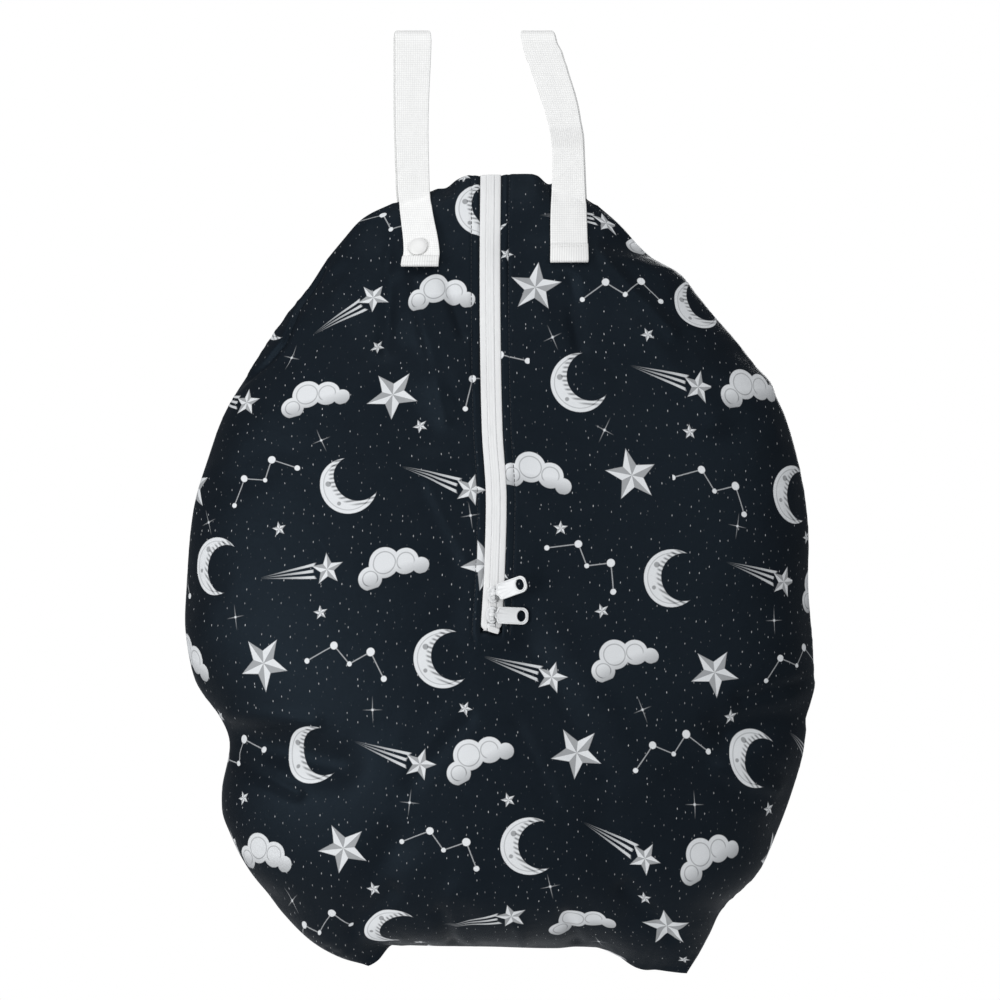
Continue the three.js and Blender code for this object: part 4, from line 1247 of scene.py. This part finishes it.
def add_panels():
    front_rises, back_rises = wrinkles()
    down = panel_rows()
    across = front_columns(down)
    slot_start = SIDE_COLUMNS + len(BESIDE_SLOT) - 1
    keep = np.ones((len(down) - 1, across.shape[1] - 1), bool)
    keep[:UPPER_ROWS, slot_start : slot_start + SLOT_COLUMNS] = False
    add_panel("bag_front_cloth", FRONT, FRONT_CREASES, front_rises, across, keep, "bag_front", (37.6, 3.1))
    across = np.broadcast_to(even_columns(BACK_COLUMNS), (len(down), BACK_COLUMNS + 1))
    add_panel("bag_back_cloth", BACK, BACK_CREASES, back_rises, across, None, "bag_back", (31.0, 40.0))


# Zip
ZIP_ROWS = 240

# Heights above the cloth's face, in millimetres, by the distance from the zip's middle
TAPE_PROFILE = table(
    "away height",
    [[3.02, -0.02], [3.3, 0.0], [4.2, -0.05], [5.2, -0.1], [6.6, -0.22], [7.1, -0.38], [7.35, -0.7]],
)
CHAIN_PROFILE = table(
    "away height",
    [[0, 0.2], [0.5, 0.22], [0.9, 0.09], [1.3, 0.2], [1.9, 0.26], [2.5, 0.2], [2.95, -0.03]],
)
ZIP_THICKNESS = 1.5 * MM
TAPE_CORNER = 3.2 * MM
LEFT_TAPE_RAISE = 1.2 * MM
LEFT_TAPE_SLANT = 1.2 * MM
RIGHT_TAPE_SLANT = 3.6 * MM
BACKING_CELLS = 12


def zip_down(drop):
    """The share down the front panel at a drop below the top hem, on the zip's middle."""
    return grid_at(zip_middle(ZIP_END_DOWN), BAG_TOP - np.asarray(drop))[1]


def add_zip_strip(name, node, offsets, heights, drop):
    """A strip along the zip through offsets from its middle, with a height above the cloth for each."""
    down = np.linspace(0, 1, ZIP_ROWS + 1)[:, None] * zip_down(np.broadcast_to(drop, offsets.shape))
    across = beside_zip(down, offsets)
    rises = np.broadcast_to(heights, across.shape)
    outer = panel_point(FRONT, across, down, -rises)
    inner = panel_point(FRONT, across, down, ZIP_THICKNESS)
    length = run_lengths(outer, 0)[:, :1] / MM
    places = np.stack(np.broadcast_arrays(offsets / MM, length), -1)
    wall_piece(name, ZIP_CLOTH, "zip", outer, inner, places, [node])


def add_zip():
    away = TAPE_PROFILE["away"] * MM
    height = TAPE_PROFILE["height"] * MM
    tape_drop = ZIP_LENGTH - ZIP_GAP
    into_corner = np.clip((away - away[-1]) / TAPE_CORNER + 1, 0, 0.98)
    rounded_drop = tape_drop - TAPE_CORNER * (1 - np.sqrt(1 - into_corner**2))
    outward = (away - away[0]) / (away[-1] - away[0])
    left_drop = (rounded_drop - LEFT_TAPE_RAISE - LEFT_TAPE_SLANT * outward)[::-1]
    right_drop = rounded_drop - RIGHT_TAPE_SLANT * outward
    add_zip_strip("zip_tape_left_cloth", "zip_tape_left", -away[::-1], height[::-1], left_drop)
    add_zip_strip("zip_tape_right_cloth", "zip_tape_right", away, height, right_drop)
    away = CHAIN_PROFILE["away"] * MM
    height = CHAIN_PROFILE["height"] * MM
    offsets = np.concatenate([-away[:0:-1], away])
    heights = np.concatenate([height[:0:-1], height])
    add_zip_strip("zip_chain", "zip_coil", offsets, heights, ZIP_LENGTH - CHAIN_END_ABOVE_ZIP_END)


def add_backing(name, material, slot, sides, to_zip_end, sinks):
    """A patch behind the zip's lower end: its sides, its reach from that end, and its two depths, in
    millimetres."""
    sides, to_zip_end, sinks = (np.array(pair) * MM for pair in (sides, to_zip_end, sinks))
    offsets = np.linspace(*sides, BACKING_CELLS + 1)
    drops = ZIP_LENGTH - np.linspace(to_zip_end[1], to_zip_end[0], BACKING_CELLS + 1)
    down = zip_down(drops)[:, None]
    across = beside_zip(down, offsets)
    outer = panel_point(FRONT, across, down, sinks[0])
    inner = panel_point(FRONT, across, down, sinks[1])
    places = np.stack(np.broadcast_arrays(offsets / MM, drops[:, None] / MM), -1)
    made = wall_piece(name, material, slot, outer, inner, places)


def surface_frame(spot, x, z, reach):
    """The matrix of a surface at a place: X across, Y into the bag, Z up along it."""
    up = Vector(spot(x, z + reach) - spot(x, z - reach)).normalized()
    right = Vector(spot(x + reach, z) - spot(x - reach, z))
    into_bag = up.cross(right).normalized()
    right = into_bag.cross(up)
    turned = Matrix([right, into_bag, up]).transposed().to_4x4()
    return Matrix.Translation(Vector(spot(x, z))) @ turned


def front_spot(x, z):
    across, down = grid_at(x, z)
    return panel_point(FRONT, across, down, 0.0)


def zip_frame(to_zip_end):
    z = BAG_TOP - ZIP_LENGTH + to_zip_end
    x = float(zip_middle(grid_at(0.0, z)[1]))
    return surface_frame(front_spot, x, z, SLIDER_LENGTH / 2)


# Sliders and pull tabs
SLIDER_SIDES = 48
SLIDER_ROUNDING = 0.8 * MM
BRIDGE_HALF_LENGTH = 3.7 * MM
BRIDGE_HALF_THICKNESS = 0.65 * MM
BRIDGE_FOOT_HALF_WIDTH = 2.1 * MM
BRIDGE_HALF_WIDTH = 1.3 * MM


def slider_body():
    """An egg-shaped cap over the chain, open at both ends where the chain runs through."""
    angle = ring_angles(SLIDER_SIDES)
    width = SLIDER_WIDTH / 2 * (1 + 0.14 * np.sin(angle))
    egg_x = width * fuller(np.cos(angle), 0.9)
    egg_z = SLIDER_LENGTH / 2 * np.sin(angle)
    over_chain = eased((np.abs(np.sin(angle)) - 0.45) / 0.3)
    foot = mix(0.02 * MM, CHANNEL_TOP, over_chain)

    def ring(inset, height):
        shrink_x = 1 - inset / (SLIDER_WIDTH / 2)
        shrink_z = 1 - inset / (SLIDER_LENGTH / 2)
        return np.stack([egg_x * shrink_x, -np.broadcast_to(height, angle.shape), egg_z * shrink_z], -1)

    ceiling = CHANNEL_TOP + 0.1 * MM
    rings = [ring(3.8 * MM, ceiling), ring(CHEEK_WIDTH, ceiling)]
    rings += [ring(CHEEK_WIDTH, foot), ring(0.2 * MM, foot)]
    for turn in np.linspace(0, math.pi / 2, 6):
        below_top = SLIDER_ROUNDING * (1 - math.sin(turn))
        rings.append(ring(SLIDER_ROUNDING * (1 - math.cos(turn)), SLIDER_TOP - below_top))
    for inset, lift in ((1.2, 0.05), (2.0, 0.14), (2.9, 0.2), (3.8, 0.22)):
        rings.append(ring(inset * MM, SLIDER_TOP + lift * MM))
    return loft(rings)


def rod(path, half_widths, half_thickness, side):
    """A bar with an oval section along a path, as wide as is given for each point of it."""
    path = np.asarray(path)
    along = np.gradient(path, axis=0)
    along = along / np.linalg.norm(along, axis=1, keepdims=True)
    angle = ring_angles(16)
    flat = fuller(np.cos(angle), 0.7)
    tall = fuller(np.sin(angle), 0.7)
    rings = []
    for point, direction, half_width in zip(path, along, half_widths):
        out = np.cross(side, direction)
        rings.append(point + np.outer(flat * half_width, side) + np.outer(tall * half_thickness, out))
    return loft(rings)


def slider_bridge():
    """An arch along the slider that carries the pull tab's eye."""
    turn = np.linspace(0, math.pi, 25)
    rise = np.sin(turn) ** 0.5
    foot = SLIDER_TOP - 0.5 * MM
    along = fuller(np.cos(turn), 0.6) * BRIDGE_HALF_LENGTH
    path = np.stack([np.zeros_like(turn), -mix(foot, BRIDGE_AXIS, rise), along], -1)
    half_widths = mix(BRIDGE_FOOT_HALF_WIDTH, BRIDGE_HALF_WIDTH, rise)
    return rod(path, half_widths, BRIDGE_HALF_THICKNESS, np.array([1.0, 0.0, 0.0]))


PULL_NECK_HALF = 2.2 * MM
PULL_NECK_START = 2.3 * MM
PULL_SHOULDER_START = 3.4 * MM
PULL_SHOULDER = 2.2 * MM
PULL_END_RADIUS = 4.4 * MM
PULL_HOLE_X = 21 * MM
PULL_HOLE_HALVES = (3 * MM, 4 * MM)
PULL_RIM = 0.8 * MM
PULL_RECESS = 0.4 * MM
NECK_TURN = 0.6


def pull_contour(inset, angle):
    """How far a pull tab's outline, inset by a distance, lies from its hole's middle at each angle."""
    half = PULL_WIDTH / 2 - inset
    end = PULL_REACH - inset
    distances = np.linspace(0, PULL_REACH, 1601)[:, None]
    x = PULL_HOLE_X + distances * np.cos(angle)
    z = np.abs(distances * np.sin(angle))
    past_x = np.maximum(x - (end - PULL_END_RADIUS), 0)
    past_z = np.maximum(z - (half - PULL_END_RADIUS), 0)
    share = np.clip((x - PULL_SHOULDER_START - inset) / PULL_SHOULDER, 0, 1)
    shoulder = mix(PULL_NECK_HALF - inset / 2, half, quarter_round(share))
    inside = (np.hypot(past_x, past_z) < PULL_END_RADIUS) & (x > PULL_NECK_START + inset) & (z < shoulder)
    return distances[np.argmin(inside, axis=0) - 1, 0]


def pull_plate():
    """The flat of a pull tab, with a recess between its rim and the ring round its hole."""
    near_neck = np.linspace(math.pi - NECK_TURN, math.pi + NECK_TURN, 61)
    upper = np.linspace(0, near_neck[0], 41)[:-1]
    angle = np.concatenate([upper, near_neck, 2 * math.pi - upper[:0:-1]])
    half = PULL_THICKNESS / 2
    hole_reach = 1 / np.hypot(np.cos(angle) / PULL_HOLE_HALVES[0], np.sin(angle) / PULL_HOLE_HALVES[1])
    recess_reach = pull_contour(PULL_RIM + 0.25 * MM, angle)

    def ring(reach, height):
        x = PULL_HOLE_X + reach * np.cos(angle)
        return np.stack([x, np.full(len(angle), -height), reach * np.sin(angle)], -1)

    def outer(inset, height):
        return ring(pull_contour(inset, angle), height)

    def hole(grow, height):
        return ring(np.minimum(hole_reach + grow, recess_reach - (1.3 * MM - grow) * 0.1), height)

    def face(side):
        deep = half - PULL_RECESS
        return [
            outer(0.0, side * (half - 0.35 * MM)),
            outer(0.12 * MM, side * (half - 0.1 * MM)),
            outer(0.36 * MM, side * half),
            outer(PULL_RIM, side * half),
            ring(recess_reach, side * deep),
            hole(1.3 * MM, side * deep),
            hole(1.05 * MM, side * (half + 0.1 * MM)),
            hole(0.45 * MM, side * (half + 0.12 * MM)),
            hole(0.12 * MM, side * (half - 0.1 * MM)),
            hole(0.0, side * (half - 0.4 * MM)),
        ]

    return loft(face(1) + face(-1)[::-1], closed_round=True)


def pull_eye():
    """The ring of a pull tab round the slider's bridge, about Z."""
    angle = ring_angles(32)
    middle = (EYE_INNER_RADIUS + EYE_OUTER_RADIUS) / 2
    half = (EYE_OUTER_RADIUS - EYE_INNER_RADIUS) / 2
    rings = []
    for turn in ring_angles(12):
        radius = middle + half * math.cos(turn)
        lift = np.full_like(angle, EYE_LENGTH / 2 * fuller(math.sin(turn), 0.5))
        rings.append(np.stack([radius * np.cos(angle), radius * np.sin(angle), lift], -1))
    return loft(rings, closed_round=True)


def turned(degrees, axis):
    return Matrix.Rotation(math.radians(degrees), 4, axis)


def add_plastic(name, body, material, shape, node, matrix, crisp_deg=50):
    piece(name, body, material, "white_plastic", *shape, [node], matrix=matrix, crisp_deg=crisp_deg)


def add_slider(name, to_zip_end, lift_deg, skew_deg):
    place = zip_frame(to_zip_end)
    body = joined([slider_body(), slider_bridge()])
    add_plastic(f"slider_{name}_body", "bag", PLASTIC, body, f"slider_{name}", place)
    bar = place @ Matrix.Translation((0, -BRIDGE_AXIS, 0))
    swung = bar @ turned(-lift_deg, "Z") @ turned(-skew_deg, "Y")
    tab = joined([pull_plate(), pull_eye()])
    add_plastic(f"pull_{name}_tab", f"{name}_tab", PLASTIC, tab, f"pull_{name}", swung)


def block(half_width, half_length, levels, sides, slope=0.0):
    """A block with rounded corners through levels of inset and height, in millimetres."""
    angle = ring_angles(sides)
    flat = fuller(np.cos(angle), 0.4)
    tall = fuller(np.sin(angle), 0.4)
    rings = []
    for inset, height in levels:
        x = flat * (half_width - inset)
        rings.append(np.stack([x, slope * x - height, tall * (half_length - inset)], -1) * MM)
    return loft(rings)


def add_end_stop():
    """A clamped block at the zip's lower end."""
    levels = [(0, -1.1), (0, 0.1), (0.12, 0.32), (0.5, 0.55), (1.2, 0.68), (2.0, 0.72)]
    shape = block(CHAIN_HALF_WIDTH / MM, 2.25, levels, 32)
    add_plastic("zip_stop_block", "bag", PLASTIC, shape, "zip_end_stop", zip_frame(STOP_ABOVE_ZIP_END))


def add_tape_fold():
    """The tape's end, folded over beside the stop."""
    levels = [(0.2, -0.35), (0, -0.2), (0, 0.1), (0.15, 0.3), (0.5, 0.4), (1.0, 0.36), (1.6, 0.33)]
    points, faces = block(4.1, 2.1, levels, 40, slope=0.07)
    place = zip_frame(2.1 * MM) @ Matrix.Translation((1.6 * MM, -1.15 * MM, 0)) @ turned(17, "Y")
    places = points[:, [0, 2]] / MM
    piece(
        "zip_tape_fold", "bag", ZIP_CLOTH, "zip", points, faces,
        cloth_places=places, matrix=place, crisp_deg=60,
    )


# Webbing loops
WEAVE_STEP = WEAVE_PITCH / 2
LOOP_COLUMNS = 32
CROWN_NARROWING = 0.1
LEFT_STITCHES_FROM_END = 2.6 * MM
RIGHT_STITCHES_FROM_END = 10.5 * MM
HEM_FADE = 1.2 * MM
BEND_FADE = 4 * MM
END_ROUNDING = 1.1 * MM
SIDE_ROUNDING = 1.3 * MM


def soft_max(first, second, rounding):
    return (first + second + np.sqrt((first - second) ** 2 + 4 * rounding * rounding)) / 2


SNAP_Z = SNAP_ABOVE_LOOP_END - LEFT_LOOP["length"]
SNAP_X = LEFT_LOOP["x"] + SNAP_SHIFT
SNAP_SLOPE = surface_frame(front_spot, SNAP_X, SNAP_Z, SNAP_RADIUS).col[1].y


def run_depth(loop, panel, x, z):
    """How far the webbing's inner face lies from the seam plane."""
    across, down = grid_at(x, z)
    cloth = np.where(z < outline(across, 0.0)[1], panel_depth(panel, across, down) + SEAM_GAP / 2, 0.0)
    above_snap = z + loop["length"] - SNAP_ABOVE_LOOP_END - SNAP_RADIUS
    held = loop["stand_off"] / SNAP_SLOPE if panel is FRONT else 0.0
    raised = held * (1 - eased(above_snap / STAND_OFF_FADE))
    return soft_max(LOOP_RADIUS, cloth + DRAPE_GAP + raised, DRAPE_ROUNDING)


def loop_middle(loop, drop, swing, column):
    """The place across of points of a loop: column is a share of the webbing's width."""
    shift = look_up(loop["lean"], "drop", "shift", drop) * WEBBING_WIDTH
    width = look_up(loop["lean"], "drop", "width", drop) * WEBBING_WIDTH
    return loop["x"] + shift + loop["back_shift"] * swing + width * (column - 0.5)


def loop_inner(loop):
    """The inner face of a loop from its front end over the crown to its back end, and each row's layers."""
    column = np.linspace(0, 1, LOOP_COLUMNS + 1)[None, :]
    steps = int(round(loop["length"] / WEAVE_STEP))
    drop = np.linspace(1, 0, steps + 1)[:, None]
    above_end = (1 - drop) * loop["length"]
    hem = eased((loop["hem"] - above_end) / HEM_FADE + 1)

    def run(panel, swing):
        x = loop_middle(loop, drop, swing, column)
        z = np.broadcast_to(-drop * loop["length"], x.shape)
        return np.stack([x, panel["facing"] * run_depth(loop, panel, x, z), z], -1)

    crown_steps = int(round(math.pi * LOOP_RADIUS / WEAVE_STEP))
    angle = np.linspace(-math.pi / 2, math.pi / 2, crown_steps + 1)[1:-1, None]
    x = loop_middle(loop, np.zeros_like(angle), angle / math.pi + 0.5, column)
    x = mix(x, x.mean(axis=1, keepdims=True), CROWN_NARROWING * np.cos(angle) ** 8)
    x = x + loop["crown_shift"] * np.cos(angle)
    y = np.broadcast_to(LOOP_RADIUS * np.sin(angle), x.shape)
    z = np.broadcast_to(LOOP_RADIUS * np.cos(angle), x.shape)
    points = np.concatenate([run(FRONT, 0.0), np.stack([x, y, z], -1), run(BACK, 1.0)[::-1]])
    layers = 1 + np.concatenate([hem, np.zeros_like(angle), hem[::-1]])
    return points, layers


def add_loop(name, loop, node):
    """A loop of webbing, woven in small raised squares, with doubled ends and slightly bowed edges.
    Gives its outer face and that face's normals."""
    inner, layers = loop_inner(loop)
    outward = -normals_of(inner)
    row = np.arange(inner.shape[0])[:, None]
    column = np.arange(inner.shape[1])[None, :]
    down = -inner[:, :1, 2]
    ribs_and_bend_shade = (layers > 1.5).astype(float)
    # The bend band joins the ribbed share, which darkens the webbing's colour: painted shade where the
    # webbing bends, beside its real fine ribs.
    if loop["bend"]:
        start, end = loop["bend"]
        bend = eased((down - start) / BEND_FADE) * eased((end - down) / BEND_FADE)
        ribs_and_bend_shade = np.maximum(ribs_and_bend_shade, bend * (inner[:, :1, 1] < 0))
    squares = (row % 2) * 1.0 + (column % 2) - 1
    weave = WEAVE_RISE * mix(squares, (column % 2) * 2.0 - 1, ribs_and_bend_shade)
    to_end = np.minimum(row, row[::-1]) * WEAVE_STEP
    to_side = np.minimum(column, column[:, ::-1]) * (WEBBING_WIDTH / LOOP_COLUMNS)
    thick = WEBBING_THICKNESS * layers - 0.35 * MM
    rounded = quarter_round(np.clip(to_end / END_ROUNDING, 0.25, 1))
    side = quarter_round(np.clip((to_side + 0.4 * MM) / SIDE_ROUNDING, 0, 1))
    raised = thick * rounded * mix(0.7, 1, side) + weave * (layers < 1.5) + weave * 0.4
    outer = inner + outward * raised[..., None]
    under = inner + outward * ((0.1 * MM + 0.5 * weave * (to_side > 0.5 * MM))[..., None])
    grid = np.stack(np.broadcast_arrays(column, row), -1) * (WEAVE_STEP / MM)
    wall_piece(name, WEBBING, "webbing", outer, under, with_depth(grid, ribs_and_bend_shade), [node])
    return outer, outward


# Stitches
ZIP_STITCH_RADIUS = 0.22 * MM
ZIP_STITCH_SINK = 0.3 * MM
LOOP_STITCH_RADIUS = 0.2 * MM


def stitch(start, end, outward, radius):
    """One stitch: a thread that rises out of the cloth and goes back in."""
    turn = np.linspace(0, math.pi, 7)
    share = (1 - np.cos(turn)) / 2
    path = start + np.outer(share, end - start) + np.outer((np.sin(turn) - 0.35) * radius, outward)
    side = np.cross(end - start, outward)
    side = side / np.linalg.norm(side)
    along = (end - start) / np.linalg.norm(end - start)
    out = np.cross(side, along)
    angle = ring_angles(6)
    rings = []
    for point, swell in zip(path, np.sin(np.linspace(0.25, math.pi - 0.25, 7)) ** 0.5):
        thread = radius * swell
        rings.append(point + np.outer(np.cos(angle) * thread, side) + np.outer(np.sin(angle) * thread, out))
    return loft(rings)


def stitch_row(spots, outward, pitch, radius):
    """Stitches along a line of places on a surface."""
    lengths = np.concatenate([[0], np.cumsum(np.linalg.norm(np.diff(spots, axis=0), axis=1))])
    count = max(1, int(lengths[-1] / pitch))
    parts = []
    for number in range(count):
        ends = np.array([number + 0.12, number + 0.88]) / count * lengths[-1]
        places = np.stack([np.interp(ends, lengths, spots[:, axis]) for axis in range(3)], 1)
        facing = np.array([np.interp(ends.mean(), lengths, outward[:, axis]) for axis in range(3)])
        parts.append(stitch(places[0], places[1], facing / np.linalg.norm(facing), radius))
    return parts


def add_stitches(name, material, slot, parts):
    points, faces = joined(parts)
    places = points[:, [0, 2]] / MM
    piece(name, "bag", material, slot, points, faces, cloth_places=places)


def zip_stitching():
    """Rows of stitches beside the zip, and a row below its end."""
    down = np.linspace(0.004, ZIP_END_DOWN, 160)
    parts = []
    away = ZIP_OPENING / 2 + STITCH_FROM_SLOT
    middle = float(zip_middle(ZIP_END_DOWN))
    foot_z = BAG_TOP - ZIP_LENGTH - STITCH_FROM_SLOT

    def foot_spot(x):
        return front_spot(x, foot_z) + (0, ZIP_STITCH_SINK, 0)

    def row(spots, pitch):
        outward = np.tile([0.0, -1.0, 0.05], (len(spots), 1))
        return stitch_row(spots, outward, pitch, ZIP_STITCH_RADIUS)

    for side in (-1, 1):
        spots = panel_point(FRONT, beside_zip(down, side * away), down, ZIP_STITCH_SINK)
        corner = foot_spot(middle + side * away)
        parts += row(np.concatenate([spots, corner[None]]), 3.4 * MM)
    spots = np.array([foot_spot(x) for x in middle + np.linspace(-away, away, 24)])
    return parts + row(spots, 3.2 * MM)


def loop_stitching(outer, outward, from_end):
    """Rows of stitches across both ends of a loop."""
    row = int(round(from_end / WEAVE_STEP))
    parts = []
    for at in (row, outer.shape[0] - 1 - row):
        parts += stitch_row(outer[at, 1:-1], outward[at, 1:-1], 2.8 * MM, LOOP_STITCH_RADIUS)
    return parts


# Snap
SNAP_POST_RADIUS = 1.6 * MM
SNAP_ROUNDING = 0.55 * MM
SNAP_CROWN = 1.35 * MM


def lathe(profile, sides=56):
    """A closed body turned about Y through points of radius and height, from the axis to the axis."""
    angle = ring_angles(sides)
    rings = []
    for radius, height in profile:
        reach = max(radius, 0.01 * MM)
        rings.append(np.stack([reach * np.cos(angle), np.full(sides, height), reach * np.sin(angle)], -1))
    return loft(rings)


def add_snap():
    def spot(x, z):
        return np.array([x, -float(run_depth(LEFT_LOOP, FRONT, np.array(x), np.array(z))), z])

    place = surface_frame(spot, SNAP_X, SNAP_Z, SNAP_BASE_RADIUS)
    under = -(WEBBING_THICKNESS + SEAT_GAP)
    post = SNAP_POST_RADIUS
    profile = [(0.0, 0.0), (post, 0.0), (post, under + 0.05 * MM), (SNAP_RADIUS - 0.5 * MM, under)]
    for turn in np.linspace(-0.6, math.pi / 2, 9):
        drop = SNAP_ROUNDING * math.sin(turn)
        profile.append((SNAP_RADIUS - SNAP_ROUNDING * (1 - math.cos(turn)), under - 0.45 * MM - drop))
    edge = SNAP_RADIUS - SNAP_ROUNDING
    for share in (0.9, 0.75, 0.6, 0.45, 0.3, 0.15, 0.0):
        crown = SNAP_CROWN * math.sqrt(1 - share * share) ** 1.2
        profile.append((edge * share, under - 1.0 * MM - crown))
    add_plastic("snap_cap_dome", "bag", SNAP_PLASTIC, lathe(profile), "snap_cap", place, 60)
    low, high = SEAT_GAP, SEAT_GAP + SNAP_BASE_THICKNESS
    rim = SNAP_BASE_RADIUS
    profile = [(0.0, low), (rim - 0.4 * MM, low), (rim, low + 0.4 * MM), (rim, low + 1.3 * MM)]
    profile += [(rim * 0.62, low + 1.5 * MM), (rim * 0.58, high - 0.3 * MM), (rim * 0.5, high)]
    profile += [(rim * 0.3, high), (rim * 0.26, high - 1.0 * MM), (0.0, high - 1.0 * MM)]
    add_plastic("snap_base_disc", "bag", SNAP_PLASTIC, lathe(profile), "snap_base", place, 40)


# Stage, light and camera
VIEW_WIDTH = 714.3 * MM
CAMERA_DISTANCE = 8.0
CAMERA_HEIGHT = -327.8 * MM
SENSOR_WIDTH = 36.0
FLOOR_HEIGHT = -0.9
FLOOR_RADIUS = 1.0
LIGHT_TARGET = (0.0, 0.0, -0.33)
LIGHTS = [
    ("key_left", (-2.4, -2.4, -0.6), 1.6, 80),
    ("fill_right", (2.2, -3.2, 0.9), 1.8, 48),
    ("top", (-0.4, -1.0, 2.2), 1.4, 30),
    ("rear", (0.6, 3.2, 0.8), 2.0, 70),
]


def add_floor():
    angle = ring_angles(96)
    rings = []
    for radius, drop in ((FLOOR_RADIUS, 0.02), (FLOOR_RADIUS, 0.004), (FLOOR_RADIUS - 0.004, 0.0)):
        height = np.full_like(angle, FLOOR_HEIGHT - drop)
        rings.append(np.stack([radius * np.cos(angle), radius * np.sin(angle), height], -1))
    points, faces = loft(rings)
    mesh = bpy.data.meshes.new("floor")
    mesh.from_pydata(points.tolist(), [], faces)
    facing_out(mesh)
    mesh.materials.append(floor_material())
    floor = bpy.data.objects.new("floor", mesh)
    bpy.context.scene.collection.objects.link(floor)


def add_light(name, place, size, watts):
    light = bpy.data.lights.new(name, "AREA")
    light.shape = "SQUARE"
    light.size = size
    light.energy = watts
    made = bpy.data.objects.new(name, light)
    made.location = place
    made.rotation_euler = (Vector(LIGHT_TARGET) - Vector(place)).to_track_quat("-Z", "Y").to_euler()
    bpy.context.scene.collection.objects.link(made)


def add_world():
    """A white background for the camera, and a dimmer, even light for the object."""
    world = bpy.data.worlds.new("studio")
    world.use_nodes = True
    bpy.context.scene.world = world
    nodes, links = world.node_tree.nodes, world.node_tree.links
    seen = nodes["Background"]
    seen.inputs["Strength"].default_value = 1.0
    seen.inputs["Color"].default_value = (1.0, 1.0, 1.0, 1.0)
    lit = nodes.new("ShaderNodeBackground")
    lit.inputs["Color"].default_value = (0.93, 0.96, 1.0, 1.0)
    lit.inputs["Strength"].default_value = 0.27
    path = nodes.new("ShaderNodeLightPath")
    chosen = nodes.new("ShaderNodeMixShader")
    links.new(path.outputs["Is Camera Ray"], chosen.inputs["Fac"])
    links.new(lit.outputs[0], chosen.inputs[1])
    links.new(seen.outputs[0], chosen.inputs[2])
    links.new(chosen.outputs[0], nodes["World Output"].inputs["Surface"])


def add_camera():
    data = bpy.data.cameras.new("camera")
    data.sensor_width = SENSOR_WIDTH
    data.lens = SENSOR_WIDTH * CAMERA_DISTANCE / VIEW_WIDTH
    data.clip_end = 100.0
    camera = bpy.data.objects.new("camera", data)
    camera.location = (0.0, -CAMERA_DISTANCE, CAMERA_HEIGHT)
    camera.rotation_euler = (math.pi / 2, 0.0, 0.0)
    bpy.context.scene.collection.objects.link(camera)
    bpy.context.scene.camera = camera


add_panels()
add_zip()
add_backing("zip_end_facing", CLOTH, "printed_cloth", (-7.4, 7.4), (-3, 12), (2.3, 2.9))
add_backing("zip_end_tape", ZIP_CLOTH, "zip", (-5.4, 4.6), (1.4, 12), (1.65, 2.1))
add_slider("upper", UPPER_SLIDER_TO_ZIP_END, UPPER_PULL_LIFT_DEG, UPPER_PULL_SKEW_DEG)
add_slider("lower", LOWER_SLIDER_TO_ZIP_END, LOWER_PULL_LIFT_DEG, LOWER_PULL_SKEW_DEG)
add_end_stop()
add_tape_fold()
left_face = add_loop("loop_left_webbing", LEFT_LOOP, "strap_left")
right_face = add_loop("loop_right_webbing", RIGHT_LOOP, "strap_right")
add_snap()
add_stitches("zip_stitching", DARK_THREAD, "printed_cloth", zip_stitching())
loop_stitches = loop_stitching(*left_face, LEFT_STITCHES_FROM_END)
loop_stitches += loop_stitching(*right_face, RIGHT_STITCHES_FROM_END)
add_stitches("loop_stitching", WHITE_THREAD, "webbing", loop_stitches)

add_floor()
for light_row in LIGHTS:
    add_light(*light_row)
add_world()
add_camera()
bpy.context.scene.view_settings.view_transform = "Standard"
